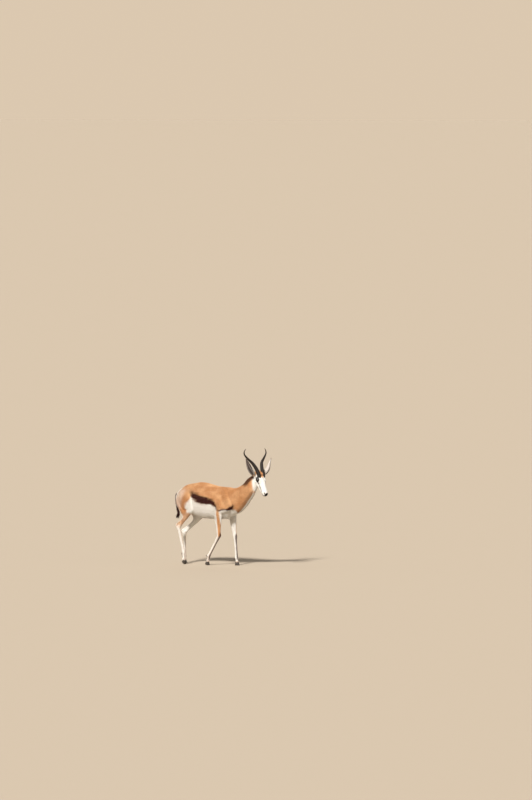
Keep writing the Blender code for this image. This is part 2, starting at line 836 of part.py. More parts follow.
def add_horn(group, name, side, grow=0.0, part=1.0):
    """A ringed horn. `grow` and `part` give a fatter, shorter one that cuts its socket."""
    places = smooth_rows([tuple(p) for p in horn_places(side)], 16)
    steps = np.linalg.norm(np.diff(places, axis=0), axis=1)
    run = np.concatenate([[0], np.cumsum(steps)]) / steps.sum()
    stations = [0.0, 0.035]
    ringed = 0.76
    for ring in range(HORN_RINGS):
        start = 0.07 + (ringed - 0.07) * ring / HORN_RINGS
        width = (ringed - 0.07) / HORN_RINGS
        stations += [start, start + 0.5 * width]
    stations += [ringed, 0.82, 0.88, 0.93, 0.97, 1.0]
    rows = []
    for index, where in enumerate(stations):
        if where > part:
            break
        place = [np.interp(where, run, places[:, k]) for k in range(3)]
        radius = HORN_TIP + (HORN_RADIUS - HORN_TIP) * (1 - where) ** 0.67
        raised = 2 <= index < 2 + 2 * HORN_RINGS and index % 2 == 1
        ridge = 1 + (0.075 if raised else -0.02) * min(1.0, (1 - where) * 2)
        radius = radius * (1.0 if grow else ridge) + grow
        rows.append((*place, radius * 0.88, radius, radius, 2.0, 2.0))
    bm = bmesh.new()
    centres = [Vector(r[:3]) for r in rows]
    if grow:
        centres[0] += (centres[0] - centres[1]).normalized() * GAP
    side_way = Vector((math.sin(HEAD_TURN), math.cos(HEAD_TURN), 0))
    rings = []
    for i, row in enumerate(rows):
        along = (centres[min(i + 1, len(rows) - 1)] - centres[max(i - 1, 0)]).normalized()
        across = (side_way - along * side_way.dot(along)).normalized()
        fore = along.cross(across)
        ring = oval(*row[3:], HORN_SIDES)
        rings.append([centres[i] + across * s + fore * f for s, f in ring])
    add_rings(bm, rings)
    return new_object(name, bm, group)


def ear_frame(side):
    """X along the ear, Y across it and Z out of its open side."""
    head = head_matrix()
    root = head @ Vector((EAR_ROOT.x, EAR_ROOT.y * side, EAR_ROOT.z))
    ahead = Vector((math.cos(HEAD_TURN), -math.sin(HEAD_TURN), 0))
    out = Vector((math.sin(HEAD_TURN), math.cos(HEAD_TURN), 0)) * side
    along = (out * 0.62 + Vector((0, 0, 0.80)) + ahead * 0.12).normalized()
    opening = (ahead * 0.62 + out * 0.78).normalized()
    opening = (opening - along * opening.dot(along)).normalized()
    across = opening.cross(along)
    return root, along, across, opening


def ear_station(side, part):
    """Centre, outer radius, half of the angle that the leaf wraps and thickness at one place."""
    root, along, across, opening = ear_frame(side)
    wide = EAR_WIDTH / 2 * math.sin(math.pi * min(1.0, 0.15 + 0.85 * part**1.15)) ** 0.8
    wide = max(wide * (1 - 0.16 * part), 0.0012)
    roll = math.radians(178 - 100 * min(1.0, part * 1.3))
    radius = wide / max(math.sin(min(roll, math.pi / 2)), 0.3)
    lean = 0.012 * part * part - 0.006 * math.sin(math.pi * part)
    centre = root + along * (EAR_LENGTH * part) - opening * lean
    solid = max(0.0, 1 - part / EAR_PLUG)  # the root is solid, the leaf thin
    thick = EAR_THICK * (1.15 - 0.75 * part) + radius * solid
    return centre, radius, roll, thick


def add_ear(group, name, side):
    """A cupped ear: a leaf that is rolled to a tube at its root and opens towards its tip."""
    across, opening = ear_frame(side)[2:]
    count = 9
    rings = []
    for step in range(EAR_STEPS):
        centre, radius, roll, thick = ear_station(side, step / (EAR_STEPS - 1))
        outer, inner = [], []
        for k in range(count):
            angle = roll * (2 * k / (count - 1) - 1)
            for row, reach in ((outer, radius), (inner, max(radius - thick, 0.0004))):
                rise = radius - math.cos(angle) * reach
                row.append(centre + across * (math.sin(angle) * reach) + opening * rise)
        rings.append(outer + inner[::-1])
    bm = bmesh.new()
    add_rings(bm, rings, folded=True)
    return new_object(name, bm, group)


def ear_socket(helpers, side):
    """What the root of an ear takes out of the head."""
    along, across, opening = ear_frame(side)[1:]
    rings = []
    for part in (0.0, 0.06, 0.12, 0.18, 0.24):
        centre, radius, _, _ = ear_station(side, part)
        if part == 0.0:
            centre = centre - along * GAP
        middle = centre + opening * radius
        ring = oval(*[radius + GAP] * 3, 2.0, 2.0, 24)
        rings.append([middle + across * s + opening * f for s, f in ring])
    bm = bmesh.new()
    add_rings(bm, rings)
    return new_object("socket", bm, helpers)


def add_eye(group, name, side, grow=0.0):
    bm = bmesh.new()
    place = head_matrix() @ Matrix.Translation((EYE_AT.x, EYE_AT.y * side, EYE_AT.z))
    bmesh.ops.create_uvsphere(bm, u_segments=18, v_segments=10, radius=EYE_RADIUS + grow, matrix=place)
    return new_object(name, bm, group)


def lid_ring(helpers, side):
    """Both lids as one almond ring that stands proud of the eye socket."""
    bm = bmesh.new()
    rings = []
    count = 24
    gaze = Vector((0.30, 1.0 * side, 0.10)).normalized()
    face = (Vector((1, 0, 0.10)) - gaze * gaze.x).normalized()
    up = gaze.cross(face) * -side
    centre = Vector((EYE_AT.x, EYE_AT.y * side, EYE_AT.z)) + gaze * (EYE_RADIUS * 0.62)
    for k in range(count):
        angle = 2 * math.pi * k / count
        out = face * math.cos(angle) * LID_REACH + up * math.sin(angle) * LID_REACH * 0.84
        dome = gaze * (-0.0045 * math.cos(angle) ** 2)
        middle = centre + out + dome
        away = out.normalized()
        rings.append(
            [
                middle + (away * math.cos(t) + gaze * math.sin(t)) * LID_THICK
                for t in np.linspace(0, 2 * math.pi, 6, endpoint=False)
            ]
        )
    rows = [[bm.verts.new(head_matrix() @ p) for p in ring] for ring in rings]
    for i in range(count):
        low, high = rows[i], rows[(i + 1) % count]
        for k in range(6):
            bm.faces.new((low[k], low[(k + 1) % 6], high[(k + 1) % 6], high[k]))
    return new_object("lid", bm, helpers)


def mouth_cutter(helpers):
    """A thin blade that draws the line of the mouth from corner to corner."""
    bm = bmesh.new()
    corner, front = 0.112, 0.186
    half_wide = 0.038
    rows = []
    for t in np.linspace(-1, 1, 15):
        along = corner + (front - corner) * math.sqrt(max(0.0, 1 - t * t))
        rows.append((along, half_wide * t, -0.0335 + 0.003 * t * t))
    blade = []
    for along, across, height in rows:
        inner = Vector((0.085 + 0.42 * (along - 0.085), across * 0.42, height))
        outer = Vector((along + 0.006, across, height))
        blade.append((inner, outer + Vector((0, 0, 0.0011)), outer - Vector((0, 0, 0.0011))))
    rings = [[head_matrix() @ p for p in ring] for ring in blade]
    add_rings(bm, rings)
    return new_object("mouth", bm, helpers)


def nostril_cutter(helpers, side):
    """A comma-shaped opening on one side of the nose."""
    bm = bmesh.new()
    rows = [
        (0.170, 0.0050 * side, -0.0150, 0.0022, 0.0030, 0.0030, 2, 2),
        (0.167, 0.0112 * side, -0.0118, 0.0030, 0.0040, 0.0040, 2, 2),
        (0.160, 0.0172 * side, -0.0068, 0.0028, 0.0034, 0.0034, 2, 2),
        (0.151, 0.0208 * side, -0.0030, 0.0018, 0.0022, 0.0022, 2, 2),
        (0.143, 0.0228 * side, -0.0018, 0.0008, 0.0010, 0.0010, 2, 2),
    ]
    sweep(bm, rows, side=Vector((0, 0, 1)), steps=2, count=8)
    bm.transform(head_matrix())
    return new_object("nostril", bm, helpers)


def add_tail(group, name, grow=0.0):
    bm = bmesh.new()
    rows = [(x - grow * 0.5, y, z, half + grow, half + grow, half + grow, 2, 2) for x, y, z, half in TAIL]
    rows[0] = (TAIL[0][0] + grow, *rows[0][1:])
    sweep(bm, rows, steps=2, count=10)
    return new_object(name, bm, group)


def tuft_locks(helpers):
    """Flat, tapered locks that hang from the lower tail, overlap, and swing back at their tips."""
    draw = np.random.default_rng(12)
    line = smooth_rows(TAIL, 8)
    made = []
    for index in range(TUFT_LOCKS):
        share = TUFT_FROM + (0.95 - TUFT_FROM) * index / (TUFT_LOCKS - 1)
        here = int(share * (len(line) - 1))
        start, half = Vector(line[here][:3]), line[here][3]
        down = Vector(line[min(here + 3, len(line) - 1)][:3]) - Vector(line[here - 3][:3])
        down.normalize()
        back = down.cross(Vector((0, 1, 0))).normalized()
        if back.x > 0:
            back = -back
        turn = math.radians((-75, 40, -20, 75, 0, -50, 60)[index % 7])
        out = back * math.cos(turn) + Vector((0, 1, 0)) * math.sin(turn)
        across = down.cross(out).normalized()
        long = LOCK_LONG * draw.uniform(0.8, 1.15) * (1.1 - 0.45 * share)
        wide = LOCK_WIDE * draw.uniform(0.85, 1.15) / 2
        sway = draw.uniform(-0.06, 0.06)
        rings = []
        for t in (0.0, 0.28, 0.56, 0.82, 1.0):
            rise = half * (0.2 + 0.9 * math.sin(math.pi * min(t * 1.4, 1.0) / 2)) + 0.003 * t
            curl = Vector((-1, 0, 0.15)) * (LOCK_CURL * long * t**2.4)
            centre = start + down * (long * t) + out * rise + curl + across * (sway * long * t)
            flat = wide * (0.65 + 0.35 * math.sin(math.pi * min(t * 1.6, 1.0))) * (1 - t**3) + 0.0004
            thick = LOCK_THICK / 2 * (1 - 0.75 * t)
            rings.append(
                [centre + across * flat, centre + out * thick, centre - across * flat, centre - out * thick]
            )
        bm = bmesh.new()
        add_rings(bm, rings)
        bmesh.ops.triangulate(bm, faces=bm.faces[:])
        made.append(new_object("lock", bm, helpers))
    return made


def build():
    clear_scene()
    animal = bpy.data.collections.new("springbok")
    helpers = bpy.data.collections.new("cutters")
    bpy.context.scene.collection.children.link(animal)
    bpy.context.scene.collection.children.link(helpers)
    flesh = blended_flesh(helpers)
    nodes = part_flesh(flesh, animal, helpers)
    bpy.data.objects.remove(flesh, do_unlink=True)

    head = nodes["head"]
    boolean(head, [lid_ring(helpers, s) for s in SIDES.values()], "UNION")
    both = SIDES.values()
    boolean(head, [mouth_cutter(helpers)], "DIFFERENCE")
    boolean(head, [nostril_cutter(helpers, side) for side in both], "DIFFERENCE")
    boolean(head, [add_eye(helpers, "socket", side, GAP) for side in both], "DIFFERENCE")
    grow = HORN_RADIUS * 0.08 + GAP
    for side in both:
        boolean(head, [add_horn(helpers, "socket", side, grow, 0.2)], "DIFFERENCE")
        boolean(head, [ear_socket(helpers, side)], "DIFFERENCE")
    for name, side in SIDES.items():
        nodes[f"eye_{name}"] = add_eye(animal, f"eye_{name}", side)
        nodes[f"horn_{name}"] = add_horn(animal, f"horn_{name}", side)
        nodes[f"ear_{name}"] = add_ear(animal, f"ear_{name}", side)
    for end, name in HOOF_PITCH:
        shank = nodes[f"{end}leg_lower_{name}"]
        boolean(shank, dewclaws(helpers, end, name), "UNION")
        for claw_name, claw in (("outer", SIDES[name]), ("inner", -SIDES[name])):
            label = f"hoof_{end}_{name}_{claw_name}"
            nodes[label] = add_claw(animal, label, end, name, claw)
    boolean(nodes["torso"], [add_tail(helpers, "socket", GAP)], "DIFFERENCE")
    nodes["tail"] = add_tail(animal, "tail")
    boolean(nodes["tail"], tuft_locks(helpers), "UNION")

    coat = material("coat", COAT, 0.9)
    white = material("white_coat", WHITE, 0.9)
    dark = material("horn_and_hoof", DARK, 0.5)
    glass = material("eye", (0.01, 0.008, 0.006, 1.0), 0.1)
    for name, node in nodes.items():
        kind = name.split("_")[0]
        looks = {"horn": dark, "hoof": dark, "eye": glass, "ear": white, "tail": white, "head": white}
        node.data.materials.clear()
        node.data.materials.append(looks.get(kind, coat).copy())
        node.data.shade_smooth()
    centre_on_box(nodes.values())


def centre_on_box(items):
    """Moves the whole so that its box is centred on the origin, standing on the floor."""
    low = Vector((1e9, 1e9))
    high = -low
    for item in items:
        for corner in item.bound_box:
            for axis in range(2):
                low[axis] = min(low[axis], corner[axis])
                high[axis] = max(high[axis], corner[axis])
    shift = Matrix.Translation((-(low[0] + high[0]) / 2, -(low[1] + high[1]) / 2, 0))
    for item in items:
        item.data.transform(shift)


build()
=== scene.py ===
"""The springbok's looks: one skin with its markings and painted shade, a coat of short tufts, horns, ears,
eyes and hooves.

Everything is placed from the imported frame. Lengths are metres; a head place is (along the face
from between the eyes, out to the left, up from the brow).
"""

import math

import bmesh
import bpy
import numpy as np
from mathutils import Matrix, Vector
from mathutils.bvhtree import BVHTree


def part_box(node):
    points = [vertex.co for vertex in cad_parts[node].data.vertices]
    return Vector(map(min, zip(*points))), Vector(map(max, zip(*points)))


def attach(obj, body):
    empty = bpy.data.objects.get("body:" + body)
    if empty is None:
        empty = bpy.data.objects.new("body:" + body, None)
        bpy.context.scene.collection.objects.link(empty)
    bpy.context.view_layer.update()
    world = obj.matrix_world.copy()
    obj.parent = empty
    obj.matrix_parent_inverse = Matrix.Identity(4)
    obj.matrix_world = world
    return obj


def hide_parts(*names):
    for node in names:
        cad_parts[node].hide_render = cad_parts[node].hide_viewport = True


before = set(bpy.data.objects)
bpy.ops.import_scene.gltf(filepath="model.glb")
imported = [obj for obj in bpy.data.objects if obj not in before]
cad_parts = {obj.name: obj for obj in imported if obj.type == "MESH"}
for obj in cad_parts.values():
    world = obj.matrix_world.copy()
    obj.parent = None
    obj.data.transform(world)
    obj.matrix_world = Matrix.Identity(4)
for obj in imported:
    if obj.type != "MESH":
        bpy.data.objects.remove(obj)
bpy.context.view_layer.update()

rng = np.random.default_rng(41)

# The head's frame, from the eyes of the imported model.
HEAD_DROP = math.radians(55.5)
EYE_ALONG, EYE_OUT, EYE_UP = -0.005, 0.0390, 0.001
EYE_RADIUS = 0.0185
HEAD_IN_BODY = Vector((0.652, -0.030, 0.892))  # before the model was centred on the floor
KINDS = ("torso", "neck", "head", "foreleg", "hindleg")  # of place on the skin
TRUNK, NECK, SKULL, FORELEG = range(4)
FLESH = [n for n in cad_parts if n.split("_")[0] in KINDS]


def node_middle(name):
    low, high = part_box(name)
    return (Vector(low) + Vector(high)) / 2


eyes = {side: node_middle(f"eye_{side}") for side in ("left", "right")}
left_way = (eyes["left"] - eyes["right"]).normalized()
ahead_way = Vector((left_way.y, -left_way.x, 0)).normalized()
face_way = ahead_way * math.cos(HEAD_DROP) - Vector((0, 0, math.sin(HEAD_DROP)))
brow_way = face_way.cross(left_way)
head_at = (eyes["left"] + eyes["right"]) / 2 - face_way * EYE_ALONG - brow_way * EYE_UP
HEAD = Matrix.Translation(head_at) @ Matrix((face_way, left_way, brow_way)).transposed().to_4x4()
HEAD_BACK = HEAD.inverted()
SHIFT = np.array(head_at - HEAD_IN_BODY)  # body coordinates of part.py to the row frame


def to_head(points):
    turn = np.array(HEAD_BACK)
    return points @ turn[:3, :3].T + turn[:3, 3]


def from_head(*place):
    return HEAD @ Vector(place)


def step(low, high, value):
    """A smooth rise from 0 at low to 1 at high; low may be the greater."""
    part = np.clip((value - low) / (high - low), 0, 1)
    return part * part * (3 - 2 * part)


def bump_noise(points, size, seed):
    """Smooth random waves of about that size, between -1 and 1, for breaking up edges."""
    draw = np.random.default_rng(seed)
    total = np.zeros(len(points))
    for _ in range(5):
        way = draw.normal(size=3)
        way *= 2 * math.pi / (size * (0.7 + 0.8 * draw.random())) / np.linalg.norm(way)
        total += np.sin(points @ way + draw.random() * 6.28)
    return total / 3


# Meshes

def linked(name, data):
    """A new object of the scene."""
    made = bpy.data.objects.new(name, data)
    bpy.context.scene.collection.objects.link(made)
    return made


def mesh_object(name, points, faces, smooth=True):
    mesh = bpy.data.meshes.new(name)
    mesh.from_pydata([tuple(p) for p in points], [], [tuple(f) for f in faces])
    mesh.update()
    if smooth:
        mesh.shade_smooth()
    return linked(name, mesh)


def place_piece(piece, material, slot, *nodes):
    """Gives a piece its material and body, and hides the nodes that it stands for. The slot is not used."""
    piece.data.materials.append(material)
    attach(piece, "root")
    if nodes:
        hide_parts(*nodes)


def read(items, key, width, kind=np.float32):
    """One value of every item, as rows of that width."""
    found = np.empty(len(items) * width, kind)
    items.foreach_get(key, found)
    return found.reshape(-1, width)


def arrays_of(mesh):
    """Points, normals and triangles of a mesh."""
    points, normals = (read(mesh.vertices, key, 3).astype(float) for key in ("co", "normal"))
    mesh.calc_loop_triangles()
    return points, normals, read(mesh.loop_triangles, "vertices", 3, np.int32)


def unit(vectors):
    return vectors / np.linalg.norm(vectors, axis=1)[:, None]


def modified(item, kind, **settings):
    """Puts an object's mesh through one modifier."""
    mod = item.modifiers.new(kind.lower(), kind)
    for key, value in settings.items():
        setattr(mod, key, value)
    graph = bpy.context.evaluated_depsgraph_get()
    mesh = bpy.data.meshes.new_from_object(item.evaluated_get(graph))
    item.modifiers.clear()
    item.data = mesh
    return item


def soften(item, weights, rounds):
    group = item.vertex_groups.new(name="soft")
    weights = np.round(weights, 1)
    for level in np.unique(weights):
        if level > 0:
            group.add(np.flatnonzero(weights == level).tolist(), float(level), "REPLACE")
    modified(item, "SMOOTH", vertex_group=group.name, factor=0.5, iterations=rounds)
    item.vertex_groups.clear()


def set_points(mesh, points):
    mesh.vertices.foreach_set("co", points.astype(np.float32).ravel())
    mesh.update()


def walls(rows, count):
    """Faces between neighbouring rings of that count."""
    rounds = [(i * count + k, i * count + (k + 1) % count) for i in range(rows - 1) for k in range(count)]
    return [(a, b, b + count, a + count) for a, b in rounds]


def tube(rings):
    """Points and faces of a closed tube through rings of equal count."""
    count = len(rings[0])
    points = [p for ring in rings for p in ring]
    faces = walls(len(rings), count)
    for start, turn in ((0, -1), ((len(rings) - 1) * count, 1)):
        hub = len(points)
        points.append(sum((Vector(points[start + k]) for k in range(count)), Vector()) / count)
        for k in range(count):
            a, b = start + k, start + (k + 1) % count
            faces.append((a, b, hub) if turn > 0 else (b, a, hub))
    return points, faces


def outward(item):
    bm = bmesh.new()
    bm.from_mesh(item.data)
    bmesh.ops.recalc_face_normals(bm, faces=bm.faces)
    bm.to_mesh(item.data)
    bm.free()
    return item


# The skin

SKIN_GRID, SKIN_TRIANGLES = 0.0021, 112000
SWELL = 0.0004  # closes the thin cuts between the nodes


def flesh_arrays(swell):
    """Points and triangles of all flesh nodes, and the kind of node of each triangle."""
    points, faces, owner, start = [], [], [], 0
    for node in FLESH:
        p, n, f = arrays_of(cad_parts[node].data)
        points.append(p + n * swell)
        faces.append(f + start)
        owner += [KINDS.index(node.split("_")[0])] * len(f)
        start += len(p)
    return np.concatenate(points), np.concatenate(faces), np.array(owner)


def flesh_mesh():
    """The flesh nodes and the balls in their sockets, as one mesh."""
    made = mesh_object("skin", *flesh_arrays(SWELL)[:2])
    bm = bmesh.new()
    bm.from_mesh(made.data)
    for centre, radius in plug_places():
        bmesh.ops.create_uvsphere(
            bm, u_segments=16, v_segments=10, radius=radius, matrix=Matrix.Translation(centre)
        )
    bm.to_mesh(made.data)
    bm.free()
    return made


def on_head(points):
    return step(0.56, 0.6, (points - SHIFT)[:, 0])


def coat_depth(points):
    """How far the skin lies under the coat's surface: least on the face and feet."""
    depth = 0.001 + 0.0016 * step(0.28, 0.5, (points - SHIFT)[:, 2])
    face = step(-0.12, -0.06, to_head(points)[:, 0]) * on_head(points)
    return depth * (1 - face) + 0.0008 * face


def plug_places():
    """Balls that fill the sockets of horns and ears, where the pieces themselves cover them."""
    found = []
    for side in (1, -1):
        found.append((from_head(-0.052, 0.027 * side, 0.018), 0.02))
        found.append((from_head(-0.076, 0.041 * side, -0.018), 0.016))
    return found


def refine_face(item):
    """Splits the faces in front of the horns in four and rounds them."""
    bm = bmesh.new()
    bm.from_mesh(item.data)
    centres = np.array([f.calc_center_median() for f in bm.faces])
    inside = (to_head(centres)[:, 0] > -0.045) & (on_head(centres) > 0.5)
    chosen = [f for f, take in zip(bm.faces, inside) if take]
    edges = {e for f in chosen for e in f.edges}
    made = bmesh.ops.subdivide_edges(bm, edges=list(edges), cuts=1, use_grid_fill=True)
    near = {v for f in chosen if f.is_valid for v in f.verts}
    near |= {v for v in made["geom_inner"] if isinstance(v, bmesh.types.BMVert)}
    for _ in range(2):
        bmesh.ops.smooth_vert(
            bm, verts=list(near), factor=0.5, use_axis_x=True, use_axis_y=True, use_axis_z=True
        )
    bmesh.ops.triangulate(bm, faces=bm.faces[:])
    bm.to_mesh(item.data)
    bm.free()


MOUTH_UP, MOUTH_CORNER = -0.0335, 0.112
NOSTRIL = (
    (0.1725, 0.0045, -0.0155), (0.168, 0.0110, -0.0120), (0.160, 0.0172, -0.0068), (0.151, 0.0208, -0.0030)
)


def distance_to(points, line):
    """How far each place is from a line of places."""
    line = np.array(line, float)
    best = np.full(len(points), 9.0)
    for start, end in zip(line, line[1:]):
        run = end - start
        t = np.clip((points - start) @ run / (run @ run), 0, 1)
        best = np.minimum(best, np.linalg.norm(points - start - t[:, None] * run, axis=1))
    return best


def hump(value, width):
    return np.exp(-((value / width) ** 2))


def face_forms(points):
    """How far the skin rises, or sinks, for the lips, nostrils, lids, tear gland and bones of the face."""
    place = to_head(points)
    place[:, 1] = np.abs(place[:, 1])
    a, c, b = place.T
    off = b - MOUTH_UP - 0.003 * (c / 0.038) ** 2
    lips = step(MOUTH_CORNER - 0.004, MOUTH_CORNER + 0.008, a)
    rise = lips * (0.0009 * hump(np.abs(off) - 0.0042, 0.0024) - 0.0026 * hump(off, 0.0014))
    hole = distance_to(place, NOSTRIL)
    rise += 0.0013 * hump(hole - 0.0062, 0.0024) - 0.006 * hump(hole, 0.0027)
    cleft = step(0.15, 0.16, a) * step(-0.006, -0.012, b) * step(-0.036, -0.03, b)
    rise -= 0.0012 * hump(c, 0.0014) * cleft
    round_eye = np.hypot(a - EYE_ALONG, (b - EYE_UP) / 0.9)
    beside = step(0.022, 0.03, c)
    lid = hump(round_eye - 0.0245, 0.0013) * 0.0011 - hump(round_eye - 0.0275, 0.0022) * 0.0007
    rise -= lid * beside * step(-0.014, 0.0, b)
    tear = stroke(a, b, ((0.02, -0.008), (0.033, -0.013)), 0.002, 0.0018)
    bone = stroke(a, b, ((0.0, -0.03), (0.04, -0.026), (0.078, -0.026)), 0.004, 0.006)
    rise += (0.0013 * bone - 0.0018 * tear) * step(0.016, 0.024, c)
    return rise * on_head(points)


def make_skin():
    """One closed skin over trunk, neck, head and legs, as deep under the solids as the coat is thick."""
    skin = modified(flesh_mesh(), "REMESH", mode="VOXEL", voxel_size=SKIN_GRID)
    points = arrays_of(skin.data)[0]
    face = step(-0.12, -0.04, to_head(points)[:, 0]) * on_head(points)
    soften(skin, 0.1 + 0.9 * step(0.38, 0.52, (points - SHIFT)[:, 2]) * (1 - face), 40)
    now = sum(len(p.vertices) - 2 for p in skin.data.polygons)
    modified(skin, "DECIMATE", ratio=min(1.0, SKIN_TRIANGLES / now))
    refine_face(skin)
    points, normals, _ = arrays_of(skin.data)
    rise = face_forms(points) - coat_depth(points)
    set_points(skin.data, points + normals * rise[:, None])
    return skin


# Markings, and painted shade and highlight, as shares of brown, dark and grey at each point

# Places along the flank: x and height of the upper and lower edges of the dark band.
BAND_X = (-0.150, -0.140, -0.116, -0.082, -0.050, -0.020, 0.035, 0.082, 0.116, 0.150, 0.170)
BAND_TOP = (0.772, 0.764, 0.746, 0.733, 0.721, 0.712, 0.703, 0.694, 0.684, 0.655, 0.620)
BAND_LOW = (0.718, 0.706, 0.680, 0.657, 0.646, 0.640, 0.634, 0.634, 0.630, 0.606, 0.588)
BREAST_LINE = (
    (0.165, 0.590), (0.197, 0.565), (0.228, 0.580), (0.274, 0.585), (0.340, 0.588), (0.420, 0.575)
)
SHOULDER_LINE = ((0.290, 0.584), (0.328, 0.606), (0.361, 0.641), (0.380, 0.664))
THIGH_Z = (0.500, 0.540, 0.573, 0.588, 0.625, 0.656, 0.687, 0.720)
THIGH_X = (-0.170, -0.182, -0.192, -0.203, -0.188, -0.163, -0.141, -0.134)
NAPE_WAY = np.array((-0.62, 0.0, 0.78))  # up and back from the neck
THROAT_WAY = np.array((0.74, 0.0, -0.67))  # down and forward from it
LEGS = {  # elbow or stifle, knee or hock, fetlock and foot, in body places
    ("fore", "right"): (
        (0.170, -0.078, 0.552), (0.182, -0.074, 0.308), (0.058, -0.070, 0.098), (0.037, -0.068, 0.0)
    ),
    ("fore", "left"): (
        (0.250, 0.078, 0.540), (0.288, 0.072, 0.294), (0.309, 0.064, 0.080), (0.318, 0.062, 0.0)
    ),
    ("hind", "right"): (
        (-0.150, -0.092, 0.566), (-0.298, -0.078, 0.376), (-0.243, -0.070, 0.122), (-0.245, -0.068, 0.0)
    ),
    ("hind", "left"): (
        (-0.108, 0.092, 0.522), (-0.320, 0.078, 0.312), (-0.314, 0.070, 0.082), (-0.311, 0.068, 0.0)
    ),
}


def leg_x(side_name, z):
    """Where the middle of that foreleg is at each height."""
    places = np.array(LEGS["fore", side_name])[::-1]
    return np.interp(z, places[:, 2], places[:, 0])


def stroke(x, y, line, width, soft):
    """1 within that width of a line of places, fading over soft."""
    line = np.array(line)
    best = np.full(len(x), 9.0)
    for (x0, y0), (x1, y1) in zip(line, line[1:]):
        dx, dy = x1 - x0, y1 - y0
        t = np.clip(((x - x0) * dx + (y - y0) * dy) / (dx * dx + dy * dy), 0, 1)
        best = np.minimum(best, np.hypot(x - x0 - t * dx, y - y0 - t * dy))
    return 1 - step(width - soft, width + soft, best)


def body_marks(points, normals, kinds):
    """(brown, dark, grey) on trunk, neck and legs."""
    place = points - SHIFT
    wave = bump_noise(points, 0.03, 3) * 0.0035 + bump_noise(points, 0.009, 4) * 0.0016
    x, y, z = place[:, 0], np.abs(place[:, 1]), place[:, 2] + wave
    side = np.sign(place[:, 1])
    outer = normals[:, 1] * side
    front = normals[:, 0]
    top, low = np.interp(x, BAND_X, BAND_TOP), np.interp(x, BAND_X, BAND_LOW)
    ends = step(-0.147, -0.138, x + wave) * step(0.176, 0.166, x)
    band = step(low - 0.004, low + 0.003, z) * step(top + 0.004, top - 0.003, z) * ends
    below = step(low + 0.004, low - 0.003, z)
    thigh_front = np.interp(z, THIGH_Z, THIGH_X)
    white = below * step(thigh_front - 0.008, thigh_front + 0.006, x + wave) * step(0.16, 0.148, x)
    off = x - np.where(side < 0, leg_x("right", z), leg_x("left", z)) + wave * 0.5
    behind_leg = step(-0.001, -0.009, off) * step(0.62, 0.6, z) * step(0.1, 0.12, x)
    line = np.interp(x, *np.array(BREAST_LINE).T)
    breast = step(line + 0.004, line - 0.004, z) * step(0.19, 0.205, x)
    under_breast = 0.85 * stroke(x, z, BREAST_LINE[:5], 0.006, 0.003) * step(0.04, 0.06, y)
    shoulder = stroke(x, z, SHOULDER_LINE, 0.012, 0.005) * step(0.03, 0.05, y)
    band = np.maximum.reduce([band, under_breast, shoulder])
    # The rump and the back of the thighs. The paler haunch is partly the edge of the white rump and partly a
    # painted highlight.
    pale = 0.42 * step(-0.2, -0.262, x + wave + 0.25 * (0.7 - z)) * step(0.8, 0.755, z)
    rump = step(-0.3, -0.33, x + y * 0.5) * step(0.845, 0.815, z)
    rump = np.maximum(rump, step(-0.4, -0.62, front) * step(0.1, 0.075, y) * step(-0.2, -0.26, x))
    crest = step(0.022, 0.012, y) * step(-0.225, -0.25, x) * step(0.3, 0.6, normals[:, 2])
    belly = step(-0.55, -0.85, normals[:, 2]) * step(0.6, 0.57, z)
    white = np.maximum.reduce([white, behind_leg, breast, pale, rump, crest, belly])
    brown, dark = 1 - white, np.where(kinds == TRUNK, band, 0)
    grey = np.zeros(len(x))

    neck = kinds == NECK
    under = normals @ THROAT_WAY
    middle = np.abs(place[:, 1] + 0.01 + 0.1 * (place[:, 0] - 0.42))
    throat = step(0.6, 0.85, under) * step(0.018, 0.01, middle)
    # Painted shade: the underside of the neck beside the white throat is painted a darker brown.
    edge = step(0.3, 0.6, under) * step(0.05, 0.026, middle)
    brown = np.where(neck, 1 - throat, brown)
    # Painted shade: the back of the neck, in the shadow of the head, is painted as a dark streak.
    nape_shade = step(0.04, 0.26, normals @ NAPE_WAY) * step(0.824, 0.848, z)
    dark = np.where(neck, np.maximum(nape_shade * 0.88, edge * (1 - throat) * 0.42), dark)

    legs = kinds >= FORELEG
    inner = step(0.05, -0.3, outer)
    fore = kinds == FORELEG
    stripe_front = np.interp(z, (0.36, 0.44), (0.045, 0.024))
    stripe = step(-0.009, -0.002, off) * step(stripe_front + 0.004, stripe_front - 0.004, off) * (1 - inner)
    fore_brown = stripe * (0.25 + 0.75 * step(0.285, 0.315, z))
    hind_brown = (1 - inner) * step(-0.75, -0.35, front) * 0.85
    low_hind = step(0.43, 0.36, z)
    hind_brown = hind_brown * (1 - low_hind) + low_hind * step(0.7, 0.95, front) * 0.35
    brown = np.where(legs, np.where(fore, fore_brown, hind_brown), brown)
    shin = step(0.005, 0.0085, off) * step(0.325, 0.3, z) * step(0.05, 0.08, z)
    dark = np.where(fore, shin * 0.8, np.where(legs, 0, dark))
    for (end, _), (_, knee, fetlock, _) in LEGS.items():
        near = np.linalg.norm(place - np.add(fetlock, (-0.017, 0, -0.008)), axis=1)
        dark = np.where(legs, np.maximum(dark, step(0.0165, 0.011, near)), dark)
        if end == "fore":
            near = np.linalg.norm(place - np.add(knee, (0.014, 0, 0.012)), axis=1)
            dark = np.where(fore, np.maximum(dark, 0.85 * step(0.02, 0.012, near)), dark)
    pastern = step(0.052, 0.036, place[:, 2]) * 0.6
    brown = np.where(legs, np.maximum(brown, pastern), brown)
    grey = np.where(legs, pastern * 0.5, grey)
    return brown, dark, grey


EYE_LINE = ((0.010, -0.004), (0.035, -0.013), (0.060, -0.018), (0.090, -0.021), (0.112, -0.029))


